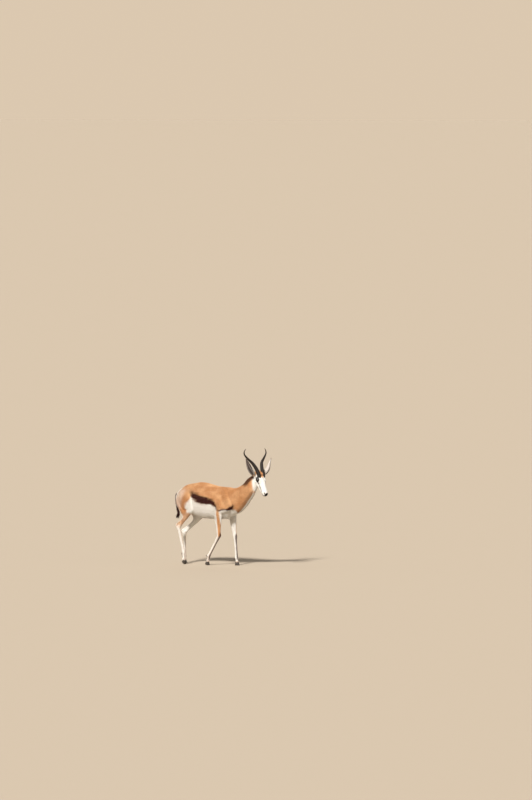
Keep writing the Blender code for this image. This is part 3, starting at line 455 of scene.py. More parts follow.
def head_marks(points, normals):
    """(brown, dark, grey) on the head: white, with a brown crown and a dark line from eye to mouth."""
    place = to_head(points)
    place[:, 1] = np.abs(place[:, 1])
    hole = distance_to(place, NOSTRIL)
    a, c, b = place.T
    wave = bump_noise(points, 0.012, 7) * 0.0012 + bump_noise(points, 0.004, 8) * 0.0006
    a, b = a + wave, b + wave
    crown = step(0.021, 0.015, c) * step(0.0, -0.008, a + c * 0.5) * step(0.016, 0.024, b)
    crown = np.maximum(crown, step(-0.06, -0.07, a) * step(0.008, 0.018, b))
    temple = step(-0.05, -0.062, a) * step(0.02, 0.03, c) * step(-0.034, -0.024, b)
    behind = step(-0.066, -0.084, a + 0.3 * b) * 0.9
    jaw = step(0.004, -0.008, b + 0.066 + 0.7 * (a + 0.022))
    brown = np.maximum.reduce([crown, temple, behind, jaw])
    throat = step(0.024, 0.014, c) * step(-0.05, -0.09, b)
    brown = brown * (1 - throat)
    line = stroke(a, b, EYE_LINE, 0.004, 0.0034) * step(0.008, 0.014, c)
    line = line * (0.5 + 0.3 * step(0.03, 0.09, a))
    pad = step(0.163, 0.168, a + (b + 0.01) * 0.3) * step(-0.027, -0.022, b)
    nose = np.maximum(pad, step(0.0062, 0.004, hole))
    lips = step(0.0048, 0.003, np.abs(b - MOUTH_UP)) * step(MOUTH_CORNER - 0.004, MOUTH_CORNER + 0.006, a)
    lips = np.maximum(lips, step(0.16, 0.166, a) * step(-0.042, -0.036, b) * step(0.01, 0.006, c))
    eye_off = np.hypot(a - EYE_ALONG, b - EYE_UP)
    rim = step(0.029, 0.0245, eye_off) * step(0.024, 0.03, c)
    tear = stroke(a, b, ((0.012, -0.006), (0.03, -0.011)), 0.0085, 0.003) * step(0.018, 0.026, c)
    # Painted shade: the back of the head, behind the ears, is painted dark like the neck's nape.
    nape_shade = step(0.04, 0.26, normals @ NAPE_WAY) * step(-0.022, -0.036, a) * step(-0.03, -0.045, b)
    edge = 0.6 * step(-0.022, -0.03, a) * crown * step(-0.044, -0.034, a)
    black = np.maximum.reduce([line, nose, lips, rim, tear * 0.95])
    dark = np.maximum.reduce([black, nape_shade * 0.9, edge])
    bridge = step(0.03, 0.1, a) * step(0.012, 0.004, c) * 0.1
    spot = 0.4 * step(0.0085, 0.004, np.hypot(a - 0.001, b + 0.05)) * step(0.02, 0.03, c)
    return brown, dark, np.maximum(bridge + spot, black)


def kinds_of(points):
    """Which kind of node lies nearest to each point."""
    corners, faces, owner = flesh_arrays(0)
    tree = BVHTree.FromPolygons(corners.tolist(), faces.tolist())
    return owner[[tree.find_nearest(Vector(p))[2] for p in points]]


def marks_of(points, normals, kinds):
    body = body_marks(points, normals, kinds)
    head = head_marks(points, normals)
    brown, dark, grey = (np.where(kinds == SKULL, h, b) for h, b in zip(head, body))
    return np.stack([brown, dark, grey], axis=1)


def coat_way(points, kinds):
    """The lie of the coat: back along the trunk, down the legs and neck, up the face."""
    x, _, z = (points - SHIFT).T
    way = np.tile(np.array((-1.0, 0.0, -0.25)), (len(points), 1))
    way[:, 2] -= 0.5 * step(0.74, 0.56, z)
    haunch = step(-0.12, -0.24, x)[:, None]
    way = way * (1 - haunch) + np.array((-0.55, 0, -0.95)) * haunch
    way = np.where((kinds == NECK)[:, None], np.array((-0.72, 0.0, -0.62)), way)
    way = np.where((kinds == SKULL)[:, None], -np.array(face_way), way)
    way = np.where((kinds >= FORELEG)[:, None], np.array((-0.1, 0.0, -1.0)), way)
    chest = (step(0.3, 0.36, x) * (kinds == TRUNK))[:, None]
    return way * (1 - chest) + np.array((-0.2, 0, -1.0)) * chest


def averaged(values, faces, rounds):
    """Values at points, spread over their neighbours a number of times."""
    ends = np.concatenate([faces[:, [0, 1]], faces[:, [1, 2]], faces[:, [2, 0]]])
    ends = np.concatenate([ends, ends[:, ::-1]])
    count = np.bincount(ends[:, 0], minlength=len(values))[:, None] + 1e-9
    for _ in range(rounds):
        found = [
            np.bincount(ends[:, 0], values[ends[:, 1], k], minlength=len(values))
            for k in range(values.shape[1])
        ]
        values = 0.5 * values + 0.5 * np.stack(found, axis=1) / count
    return values


def paint(mesh, name, values):
    """Stores three shares at each point as a colour attribute."""
    layer = mesh.color_attributes.new(name, "FLOAT_COLOR", "POINT")
    full = np.ones((len(values), 4), np.float32)
    full[:, :3] = values
    layer.data.foreach_set("color", full.ravel())


# Materials

class Nodes:
    """The node tree of a new material, or of the world."""

    def __init__(self, name, kind="materials", shader="Principled BSDF"):
        self.owner = getattr(bpy.data, kind).new(name)
        self.owner.use_nodes = True
        self.tree = self.owner.node_tree
        self.shader = self.tree.nodes[shader]

    def add(self, kind, **inputs):
        node = self.tree.nodes.new(kind)
        for key, value in inputs.items():
            if hasattr(node, key):
                setattr(node, key, value)
            else:
                self.put(node.inputs[key.replace("_", " ")], value)
        return node

    def put(self, socket, value):
        if isinstance(value, bpy.types.NodeSocket):
            self.tree.links.new(value, socket)
        else:
            socket.default_value = value

    def mix(self, factor, first, second, blend="MIX"):
        node = self.tree.nodes.new("ShaderNodeMix")
        node.data_type = "RGBA"
        node.blend_type = blend
        self.put(node.inputs[0], factor)
        self.put(node.inputs[6], first)
        self.put(node.inputs[7], second)
        return node.outputs[2]

    def maths(self, operation, first, second=0.0, clamp=False):
        node = self.tree.nodes.new("ShaderNodeMath")
        node.operation = operation
        node.use_clamp = clamp
        self.put(node.inputs[0], first)
        self.put(node.inputs[1], second)
        return node.outputs[0]

    def noise(self, scale, detail=3.0, stretch=None):
        place = self.add("ShaderNodeTexCoord").outputs["Object"]
        if stretch:
            place = self.add("ShaderNodeMapping", Vector=place, Scale=stretch).outputs["Vector"]
        found = self.add("ShaderNodeTexNoise", Vector=place, Scale=scale, Detail=detail)
        return found.outputs["Fac"]

    def bump(self, height, strength, distance):
        found = self.add("ShaderNodeBump", Height=height, Strength=strength, Distance=distance)
        self.put(self.shader.inputs["Normal"], found.outputs["Normal"])

    def surface(self, **values):
        for key, value in values.items():
            self.put(self.shader.inputs[key.replace("_", " ")], value)


WHITE_HAIR = (0.80, 0.785, 0.755, 1)
CREAM_HAIR = (0.74, 0.68, 0.59, 1)
BROWN_HAIR = (0.52, 0.250, 0.105, 1)
PALE_BROWN = (0.76, 0.48, 0.26, 1)
BAND_HAIR = (0.040, 0.007, 0.004, 1)
BLACK_HAIR = (0.010, 0.008, 0.008, 1)
GREY_HAIR = (0.20, 0.175, 0.155, 1)


def coat_material(name, hairs):
    """Markings from the paint, varied by noise; hairs adds painted shade at each tuft's root and painted
    light at its tip, and a random tone by tuft.
    """
    made = Nodes(name)
    marks = made.add("ShaderNodeAttribute", attribute_name="marks")
    split = made.add("ShaderNodeSeparateColor", Color=marks.outputs["Color"])
    brown, dark, grey = split.outputs[0], split.outputs[1], split.outputs[2]
    patch = made.noise(9.0, 4.0)
    fine = made.noise(240.0, 2.0)
    lift = made.maths("SUBTRACT", patch, 0.42, True)
    hair_brown = made.mix(made.maths("MULTIPLY", lift, 2.6, True), BROWN_HAIR, PALE_BROWN)
    white = made.mix(made.maths("MULTIPLY", fine, 0.5), WHITE_HAIR, CREAM_HAIR)
    colour = made.mix(brown, white, hair_brown)
    colour = made.mix(grey, colour, GREY_HAIR)
    colour = made.mix(dark, colour, made.mix(grey, BAND_HAIR, BLACK_HAIR))
    if hairs:
        tuft = made.add("ShaderNodeAttribute", attribute_name="tuft")
        tip, draw = made.add("ShaderNodeSeparateColor", Color=tuft.outputs["Color"]).outputs[:2]
        # Painted shade and light: each tuft darker at its root and lighter at its tip, times a random tone
        # by tuft.
        shade = made.maths("ADD", made.maths("MULTIPLY", tip, 0.22), 0.9)
        shade = made.maths("MULTIPLY", shade, made.maths("ADD", made.maths("MULTIPLY", draw, 0.22), 0.9))
        grade = made.add("ShaderNodeCombineColor", Red=shade, Green=shade, Blue=shade).outputs[0]
        colour = made.mix(1.0, colour, grade, "MULTIPLY")
    made.surface(Base_Color=colour, Roughness=0.72, Specular_IOR_Level=0.12)
    made.surface(Sheen_Weight=0.03, Sheen_Roughness=0.4)
    if not hairs:
        made.bump(made.noise(420.0, 2.0, (0.35, 1.0, 1.0)), 0.35, 0.0012)
    return made.owner


def horn_material():
    made = Nodes("horn black")
    streak = made.noise(60.0, 5.0, (1.0, 1.0, 0.15))
    fine = made.noise(500.0, 3.0)
    colour = made.mix(streak, (0.004, 0.003, 0.003, 1), (0.026, 0.017, 0.012, 1))
    rough = made.maths("ADD", made.maths("MULTIPLY", fine, 0.25), 0.4)
    made.surface(Base_Color=colour, Roughness=rough, Specular_IOR_Level=0.25)
    made.bump(made.maths("ADD", streak, fine), 0.35, 0.001)
    return made.owner


def hoof_material():
    made = Nodes("hoof dark")
    streak = made.noise(90.0, 4.0, (1.0, 1.0, 0.2))
    bands = made.noise(40.0, 2.0, (0.1, 0.1, 5.0))
    colour = made.mix(streak, (0.01, 0.008, 0.007, 1), (0.06, 0.045, 0.034, 1))
    made.surface(Base_Color=colour, Roughness=0.48)
    made.bump(made.maths("ADD", streak, bands), 0.4, 0.0008)
    return made.owner


def eye_material():
    """A dark brown eye with a level oval pupil; the paint holds the rim's share and the pupil's."""
    made = Nodes("eye dark")
    look = made.add("ShaderNodeAttribute", attribute_name="look")
    out, pupil = made.add("ShaderNodeSeparateColor", Color=look.outputs["Color"]).outputs[:2]
    fibre = made.noise(900.0, 3.0)
    iris = made.mix(fibre, (0.008, 0.003, 0.002, 1), (0.026, 0.01, 0.004, 1))
    colour = made.mix(pupil, iris, (0.002, 0.002, 0.003, 1))
    colour = made.mix(out, colour, (0.01, 0.006, 0.005, 1))
    made.surface(Base_Color=colour, Roughness=0.08, Specular_IOR_Level=0.25)
    made.surface(Coat_Weight=0.5, Coat_Roughness=0.02)
    return made.owner


def floor_material():
    made = Nodes("floor pale")
    made.surface(Base_Color=(*FLOOR_TINT, 1), Roughness=0.95, Specular_IOR_Level=0.0)
    return made.owner


# The coat of tufts

BODY_TUFTS, HEAD_TUFTS, EAR_TUFTS, TAIL_TUFTS = 88000, 40000, 4200, 2600
TUFT_FACES = np.array((
    (0, 2, 1), (0, 1, 4), (0, 4, 3), (1, 2, 5), (1, 5, 4),
    (2, 0, 3), (2, 3, 5), (3, 4, 6), (4, 5, 6), (5, 3, 6),
))
TUFT_MAP = np.array(((-1, -1), (1, -1), (0, -1), (-0.7, 0.2), (0.7, 0.2), (0, 0.2), (0, 1))) * 0.0015


def sample(points, faces, weights, count):
    """Random places on triangles: which triangle, and its corner shares."""
    a, b, c = (points[faces[:, k]] for k in range(3))
    area = np.linalg.norm(np.cross(b - a, c - a), axis=1) / 2
    chance = np.cumsum(area * weights[faces].mean(axis=1))
    pick = np.searchsorted(chance, rng.random(count) * chance[-1])
    u, v = rng.random(count), rng.random(count)
    flip = u + v > 1
    u[flip], v[flip] = 1 - u[flip], 1 - v[flip]
    return pick, np.stack([1 - u - v, u, v], axis=1)


def blend(values, corner, shares):
    """Values at points, taken to the picked places."""
    return (values[corner] * shares.reshape(*shares.shape, *[1] * (values.ndim - 1))).sum(axis=1)


def tufts(roots, normals, ways, length, width, lift, sink=0.0012, bend=0.5, stray=0.16):
    """Points of bent, tapered, three-sided blades that lie along the coat: (tuft, corner, xyz)."""
    count = len(roots)
    ways = ways - normals * (ways * normals).sum(axis=1)[:, None]
    ways /= np.linalg.norm(ways, axis=1)[:, None] + 1e-9
    across = np.cross(normals, ways)
    turn = rng.normal(scale=stray, size=count)[:, None]
    ways, across = ways * np.cos(turn) + across * np.sin(turn), across * np.cos(turn) - ways * np.sin(turn)
    length = (length * (0.75 + 0.5 * rng.random(count)))[:, None]
    width = (width * (0.75 + 0.5 * rng.random(count)))[:, None]
    rise = (lift * (0.7 + 0.6 * rng.random(count)))[:, None]
    sway = across * length * rng.normal(scale=0.07, size=count)[:, None]
    base = roots - normals * sink
    middle = roots + ways * length * 0.5 + normals * (length * rise * 0.62) + sway * 0.4
    tip = roots + ways * length + normals * (length * rise * (1 - bend * 0.5)) + sway
    half, thick = width / 2, width * 0.3
    corners = [
        base - across * half,
        base + across * half,
        base + normals * thick,
        middle - across * half * 0.85,
        middle + across * half * 0.85,
        middle + normals * thick,
        tip,
    ]
    return np.stack(corners, axis=1)


def coat_piece(name, shape, marks, places, slot):
    """One object from (tuft, corner, xyz) points, with its markings, its painted shade from root to tip, its
    random tone and bake map.
    """
    count = len(shape)
    faces = (TUFT_FACES[None] + 7 * np.arange(count)[:, None, None]).reshape(-1, 3)
    mesh = bpy.data.meshes.new(name)
    mesh.vertices.add(count * 7)
    mesh.vertices.foreach_set("co", shape.astype(np.float32).ravel())
    mesh.loops.add(len(faces) * 3)
    mesh.loops.foreach_set("vertex_index", faces.astype(np.int32).ravel())
    mesh.polygons.add(len(faces))
    mesh.polygons.foreach_set("loop_start", (np.arange(len(faces)) * 3).astype(np.int32))
    mesh.update(calc_edges=True)
    mesh.shade_smooth()
    paint(mesh, "marks", np.repeat(marks, 7, axis=0))
    shade = np.zeros((count, 7, 3))
    # Painted shade along each tuft: 0 at the root, 1 at the tip, which is lit the most.
    shade[:, :, 0] = np.array((0, 0, 0, 0.6, 0.6, 0.6, 1.0))
    shade[:, :, 1] = rng.random(count)[:, None]
    paint(mesh, "tuft", shade.reshape(-1, 3))
    layer = mesh.uv_layers.new(name="OFBake")
    spots = (places[:, None, :] + TUFT_MAP[None]).reshape(-1, 2)[faces.ravel()]
    layer.data.foreach_set("uv", np.clip(spots, 0, 1).astype(np.float32).ravel())
    place_piece(linked(name, mesh), TUFT_LOOK, slot)


def solid_piece(name, points, faces, material, slot, *nodes):
    made = outward(mesh_object(name, points, faces))
    place_piece(made, material, slot, *nodes)
    return made


def unwrap(item):
    """A map of the skin's own shape, cut where it turns sharply."""
    for other in bpy.context.selected_objects:
        other.select_set(False)
    item.select_set(True)
    bpy.context.view_layer.objects.active = item
    item.data.uv_layers.new(name="OFBake")
    bpy.ops.object.mode_set(mode="EDIT")
    bpy.ops.mesh.select_all(action="SELECT")
    bpy.ops.uv.smart_project(angle_limit=math.radians(66), island_margin=0.002)
    bpy.ops.object.mode_set(mode="OBJECT")


def map_places(mesh, pick, shares):
    """Where the picked places lie on the skin's map."""
    uv = read(mesh.uv_layers["OFBake"].data, "uv", 2)
    return blend(uv, read(mesh.loop_triangles, "loops", 3, np.int32)[pick], shares)


def coat_size(points, kinds):
    """Length of the tufts at each place: shortest on the face and feet, longest on rump and belly."""
    x, _, z = (points - SHIFT).T
    long = np.full(len(points), 0.0135)
    long += 0.006 * step(-0.24, -0.31, x) + 0.003 * step(0.53, 0.49, z)
    long = np.where(kinds == NECK, 0.013, long)
    long = np.where(kinds >= FORELEG, 0.006 + 0.006 * step(0.34, 0.52, z), long)
    face = 0.003 + 0.006 * step(0.07, -0.09, to_head(points)[:, 0])
    return np.where(kinds == SKULL, face, long)


def add_coat(name, skin, kinds, marks, ways, wanted, pieces, weight):
    """Scatters tufts over the skin, in pieces that stay under the limit."""
    points, normals, faces = arrays_of(skin.data)
    for piece in range(pieces):
        pick, shares = sample(points, faces, weight, wanted // pieces)
        corner = faces[pick]
        roots, normal, way, mark = (blend(v, corner, shares) for v in (points, normals, ways, marks))
        kind = kinds[corner[:, 0]]
        length = coat_size(roots, kind)
        width = 0.0009 + length * 0.13
        lift = np.where(kind == SKULL, 0.22, 0.17)
        shape = tufts(roots, unit(normal), way, length, width, lift)
        shape[:, :, 2] = np.maximum(shape[:, :, 2], 0.001)
        places = map_places(skin.data, pick, shares)
        coat_piece(f"{name}_{piece + 1}", shape, mark, places, "coat_cinnamon")


def hair_on(item, name, count, weights, marks, ways, length, width):
    """Scatters hair on a small piece. All but the names and the count are given at the item's points."""
    unwrap(item)
    points, normals, faces = arrays_of(item.data)
    pick, shares = sample(points, faces, weights, count)
    values = (points, normals, ways, length, width, marks)
    roots, normal, way, long, wide, mark = (blend(v, faces[pick], shares) for v in values)
    shape = tufts(roots, unit(normal), way, long, wide, 0.1, sink=0.0005, bend=0.6, stray=0.12)
    coat_piece(name, shape, mark, map_places(item.data, pick, shares), "coat_white")


# Ears, horns, eyes and hooves

EAR_ROOT = (-0.078, 0.042, -0.018)
EAR_LENGTH, EAR_WIDTH = 0.212, 0.058
HORN_ROOT = (-0.050, 0.0, 0.026)
HORN_RADIUS, HORN_TIP, HORN_RINGS = 0.0232, 0.0018, 19
HORN_LINE = (  # back, out and up from the root
    (-0.012, 0.026, -0.020), (0.004, 0.030, 0.020), (0.030, 0.039, 0.068), (0.060, 0.061, 0.118),
    (0.080, 0.104, 0.162), (0.090, 0.138, 0.206), (0.092, 0.138, 0.240), (0.088, 0.120, 0.264),
)
UP = Vector((0, 0, 1))
SIDES = {"right": -1, "left": 1}


def smooth_line(places, steps):
    """Points of a smooth curve through the places."""
    p = [Vector(q) for q in places]
    p = [p[0] * 2 - p[1]] + p + [p[-1] * 2 - p[-2]]
    found = []
    for a, b, c, d in zip(p, p[1:], p[2:], p[3:]):
        for t in (s / steps for s in range(steps)):
            square, cube = 2 * a - 5 * b + 4 * c - d, 3 * b - a - 3 * c + d
            found.append(0.5 * (2 * b + (c - a) * t + square * t * t + cube * t * t * t))
    return np.array(found + [p[-2]])


def along_line(places):
    run = np.concatenate([[0], np.cumsum(np.linalg.norm(np.diff(places, axis=0), axis=1))])
    return run / run[-1]


def ear_way(side):
    return left_way * side * 0.62 + UP * 0.8 + ahead_way * 0.12


def ear_leaf(side, part, angle_part, depth):
    """A place on the leaf of an ear: along it, round it from -1 to 1, and in from its outer face."""
    along = ear_way(side).normalized()
    opening = (ahead_way * 0.62 + left_way * side * 0.78).normalized()
    opening = (opening - along * opening.dot(along)).normalized()
    across = opening.cross(along)
    wide = EAR_WIDTH / 2 * math.sin(math.pi * min(1.0, 0.15 + 0.85 * part**1.15)) ** 0.8
    wide = max(wide * (1 - 0.16 * part), 0.0008)
    roll = math.radians(178 - 100 * min(1.0, part * 1.3))
    radius = wide / max(math.sin(min(roll, math.pi / 2)), 0.3)
    lean = 0.012 * part * part - 0.006 * math.sin(math.pi * part)
    root = from_head(EAR_ROOT[0], EAR_ROOT[1] * side, EAR_ROOT[2])
    centre = root + along * (EAR_LENGTH * part) - opening * lean
    angle = roll * angle_part
    reach = max(radius - depth, 0.0003)
    ripple = 0.0006 * math.sin(part * 31 + angle_part * 4) * (1 - part)
    deep = radius - math.cos(angle) * reach + ripple
    return centre + across * (math.sin(angle) * reach) + opening * deep


def make_ear(side_name, material):
    """A thin leaf with a rolled edge: its back haired, its inside dark with pale rows of long hair. The
    inside's dark is partly its own and partly painted shade, deepest on one side.
    """
    side = SIDES[side_name]
    rows, columns = 56, 26
    across = np.linspace(-1, 1, columns)
    points, marks, pale = [], [], []
    for part in np.linspace(0, 1, rows):
        thick = 0.003 - 0.0018 * part
        tip = step(0.8, 0.97, part)
        for where in across:
            points.append(ear_leaf(side, part, where, 0.0004 + 0.00024 * abs(where) ** 6))
            rim = step(0.8, 0.97, abs(where))
            fold = 0.45 * step(0.26, 0.12, abs(where))
            marks.append((0.2 * (1 - rim), max(0.8 * max(rim * 0.8, tip), fold), 0.25))
            pale.append(0)
        for where in across[::-1]:
            depth = 0.0004 + thick * (1 - 0.75 * abs(where) ** 4)
            points.append(ear_leaf(side, part, where, depth))
            row = max(0.0, math.cos((where + 0.1) * 2.6 * math.pi)) * (1 - part) ** 0.4
            # Painted shade inside the ear: the whole inside is darkened, most where shadow is 1.
            shadow = step(-0.25, 0.3, where * side)
            marks.append((0.12, max(0.97 * shadow, 0.84) * (1 - 0.5 * row * (1 - shadow)), 0.3))
            pale.append(row * (1 - 0.9 * shadow) + 0.05)
    count = 2 * columns
    faces = walls(rows, count)
    for start in (0, (rows - 1) * count):
        for k in range(columns - 1):
            a, b = start + k, start + k + 1
            c, d = start + count - 2 - k, start + count - 1 - k
            faces.append((a, b, c, d) if start == 0 else (d, c, b, a))
    node = f"ear_{side_name}"
    made = solid_piece(f"ear.{side_name}", points, faces, material, "coat_white", node)
    marks, pale = np.array(marks), np.array(pale)
    paint(made.data, "marks", marks)
    along = np.tile(np.array(ear_way(side)), (len(points), 1))
    inner = pale > 0
    level = np.repeat(np.linspace(0, 1, rows), count)
    # The pale rows' hair is darkened too, with painted shade.
    white = np.array((0.1, 0.42, 0.3))
    hair_marks = np.where((pale > 0.25)[:, None], white, marks)
    length = np.where(inner, 0.006 + 0.016 * pale, 0.006) * (1 - 0.4 * level)
    width = np.where(inner, 0.0009, 0.0014)
    weights = np.where(inner, 0.15 + 2.2 * pale, 0.8) * step(0.0, 0.06, level) * step(1.0, 0.97, level)
    count = EAR_TUFTS // THIN_OUT
    hair_on(made, f"ear_coat_{side_name}", count, weights, hair_marks, along, length, width)


def make_horn(side_name, material):
    """A lyre horn with rounded rings, fullest in front, fading to a smooth point."""
    side = SIDES[side_name]
    root = from_head(*HORN_ROOT)
    line = [root - ahead_way * b + left_way * (o * side) + UP * u for b, o, u in HORN_LINE]
    places = smooth_line(line, 24)
    run = along_line(places)
    rows, sides = 300, 40
    rings = []
    draw = np.random.default_rng(7 + side)
    jitter = draw.normal(scale=0.12, size=HORN_RINGS + 2)
    centres = [Vector([np.interp(i / (rows - 1), run, places[:, k]) for k in range(3)]) for i in range(rows)]
    for i, centre in enumerate(centres):
        part = i / (rows - 1)
        along = (centres[min(i + 1, rows - 1)] - centres[max(i - 1, 0)]).normalized()
        across = (left_way - along * left_way.dot(along)).normalized()
        fore = along.cross(across)
        if fore.dot(ahead_way) < 0:
            fore = -fore
        radius = HORN_TIP * 0.5 + (HORN_RADIUS - HORN_TIP * 0.5) * (1 - part) ** 0.67
        ringed = (part - 0.06) / 0.7 * HORN_RINGS
        which = int(np.clip(ringed, 0, HORN_RINGS))
        wave = max(0.0, math.sin(math.pi * (ringed % 1.0))) ** 0.8 if 0 < ringed < HORN_RINGS else 0.0
        fade = 1 - step(0.62, 0.78, part)
        ring = []
        for k in range(sides):
            angle = 2 * math.pi * k / sides
            front = 0.55 + 0.45 * math.cos(angle)
            ridge = (0.135 * wave * (1 + jitter[which]) * front - 0.03) * fade
            groove = 0.01 * math.sin(angle * 9 + part * 6) * (1 - part)
            reach = radius * (1 + ridge + groove)
            out = across * (math.sin(angle) * reach * 0.88)
            ring.append(centre + fore * (math.cos(angle) * reach) + out)
        rings.append(ring)
    start, along = centres[0], (centres[1] - centres[0]).normalized()
    for back in (0.007, 0.014, 0.021, 0.028):  # sunk below the skin
        rings.insert(0, [start - along * back + (p - start) * (1 - back * 17) for p in rings[-rows]])
    solid_piece(f"horn.{side_name}", *tube(rings), material, "horn_black", f"horn_{side_name}")


def make_eye(side_name, material):
    """A ball with a bulging cornea, painted with its rim and pupil."""
    side = SIDES[side_name]
    bm = bmesh.new()
    bmesh.ops.create_uvsphere(bm, u_segments=64, v_segments=40, radius=1.0)
    bm.to_mesh(mesh := bpy.data.meshes.new(f"eye.{side_name}"))
    bm.free()
    ball = arrays_of(mesh)[0]
    gaze = np.array((0.26, 0.96 * side, 0.08))
    gaze /= np.linalg.norm(gaze)
    level = np.array(HEAD_BACK.to_3x3() @ (HEAD.to_3x3() @ Vector(gaze)).cross(UP))
    level /= np.linalg.norm(level)
    high = np.cross(level, gaze)
    out = np.arccos(np.clip(ball @ gaze, -1, 1))
    look = np.zeros((len(ball), 3))
    look[:, 0] = step(0.66, 0.74, out)
    look[:, 1] = step(1.08, 0.92, np.hypot(ball @ level / 0.42, ball @ high / 0.2)) * (ball @ gaze > 0)
    bulge = 1 + 0.05 * step(0.75, 0.3, out)
    local = ball * (EYE_RADIUS * 0.985 * bulge)[:, None] + np.array((EYE_ALONG, EYE_OUT * side, EYE_UP))
    turn = np.array(HEAD)
    set_points(mesh, local @ turn[:3, :3].T + turn[:3, 3])
    paint(mesh, "look", look)
    mesh.shade_smooth()
    place_piece(linked(f"eye.{side_name}", mesh), material, "eye_dark", f"eye_{side_name}")


HOOF_LONG, HOOF_WIDE, HOOF_HIGH, CLEFT, TOE_FLAT = 0.058, 0.0185, 0.034, 0.0022, 0.011
HEEL_LIFT = {("fore", "right"): 14, ("hind", "right"): 38}  # degrees; the left feet stand flat


def make_claws(end, side_name, material):
    """Both claws of a foot, with growth lines and a worn lower edge."""
    x, y, _ = LEGS[end, side_name][3]
    pitch = math.radians(HEEL_LIFT.get((end, side_name), 0))
    toe = Vector(SHIFT) + Vector((x + HOOF_LONG / 2 * math.cos(pitch), y, -TOE_FLAT * math.sin(pitch)))
    foot = Matrix.Translation(toe) @ Matrix.Rotation(pitch, 4, "Y")
    layers, count = 22, 48
    for claw in (1, -1):
        word = "outer" if claw == SIDES[side_name] else "inner"
        rings = []
        for layer in range(layers):
            part = layer / (layers - 1)
            tip, heel = -0.002 - 0.019 * part, -HOOF_LONG + 0.007 + 0.003 * part
            half = HOOF_WIDE / 2 * (1.0 - 0.08 * part) + 0.0006 * math.sin(math.pi * part)
            grow = 0.00025 * math.sin(part * 30) + 0.0004 * step(0.82, 1.0, part)
            ring = []
            for k in range(count):
                angle = 2 * math.pi * k / count
                along = (tip + heel) / 2 + ((tip - heel) / 2 + grow) * math.cos(angle)
                taper = 1 - 0.62 * max(0.0, math.cos(angle)) ** 2.2
                across = half * (1 + taper * math.sin(angle)) - half * 0.25 * max(0.0, math.cos(angle)) ** 2
                across = max(across, 0.0) + CLEFT / 2 + grow * max(0.0, math.sin(angle))
                height = part * (HOOF_HIGH * 0.9 + 0.22 * (along + HOOF_LONG * 0.62))
                place = foot @ Vector((along, across * claw, height))
                place.z = max(place.z, 0.0)
                ring.append(place)
            rings.append(ring)
        claw_name = f"{end}_{side_name}_{word}"
        solid_piece(f"hoof.{claw_name}", *tube(rings), material, "hoof_dark", f"hoof_{claw_name}")


def make_dewclaws(end, side_name, material):
    """The two small horny points behind the fetlock."""
    _, knee, fetlock, _ = (Vector(place) for place in LEGS[end, side_name])
    up = (knee - fetlock).normalized()
    back = -up.cross(Vector((0, -1, 0))).normalized()
    for out, word in ((1, "left"), (-1, "right")):
        start = fetlock + Vector(SHIFT) + back * 0.013 + Vector((0, 0.009 * out, 0)) - up * 0.003
        rings = []
        for part in np.linspace(0, 1, 14):
            middle = start + back * (0.011 * math.sin(part * 1.9)) - up * (0.019 * part**1.4)
            half = 0.0058 * math.sqrt(max(1 - part**2.2, 0.01))
            across, fore = Vector((0, 1, 0)), back.lerp(up, 0.3 * part)
            rings.append([
                middle + across * (math.cos(t) * half) + fore * (math.sin(t) * half * 0.8)
                for t in np.linspace(0, 2 * math.pi, 16, endpoint=False)
            ])
        solid_piece(f"dewclaw.{end}_{side_name}_{word}", *tube(rings), material, "hoof_dark")


TAIL = (  # body places and half widths
    (-0.318, 0.000, 0.724, 0.0110),
    (-0.358, -0.001, 0.716, 0.0105),
    (-0.373, -0.003, 0.690, 0.0090),
    (-0.370, -0.009, 0.640, 0.0072),
    (-0.356, -0.014, 0.585, 0.0062),
    (-0.343, -0.017, 0.545, 0.0050),
    (-0.338, -0.019, 0.515, 0.0025),
)


def make_tail(material):
    """The tail's skin and the line through its middle."""
    line = smooth_line([r[:3] for r in TAIL], 10)
    half = np.interp(np.linspace(0, 1, len(line)), np.linspace(0, 1, len(TAIL)), [r[3] for r in TAIL])
    rings = []
    for i, centre in enumerate(line):
        along = Vector(line[min(i + 1, len(line) - 1)] - line[max(i - 1, 0)]).normalized()
        across = Vector((0, 1, 0))
        fore = along.cross(across).normalized()
        middle = Vector(centre + SHIFT)
        rings.append([
            middle + (across * math.cos(t) + fore * math.sin(t)) * half[i]
            for t in np.linspace(0, 2 * math.pi, 24, endpoint=False)
        ])
    return solid_piece("tail_skin", *tube(rings), material, "coat_white", "tail"), line


def tail_marks(points, line):
    """Dark along the tail's rear edge and all of its tuft, white before that."""
    place = points - SHIFT
    near = np.linalg.norm(place[:, None, :] - line[None, :, :], axis=2)
    part = near.argmin(axis=1) / (len(line) - 1)
    rear = step(0.005, -0.001, place[:, 0] - line[near.argmin(axis=1), 0])
    dark = np.maximum(step(0.5, 0.66, part), rear * step(0.08, 0.18, part) * 0.95)
    return np.stack([0.4 * step(0.3, 0.0, part), dark, 0.4 * step(0.5, 0.8, part)], axis=1), part


# Build

HORN_LOOK, HOOF_LOOK, EYE_LOOK = horn_material(), hoof_material(), eye_material()
SKIN_LOOK = coat_material("coat skin", False)
TUFT_LOOK = coat_material("coat tufts", True)
THIN_OUT = 1

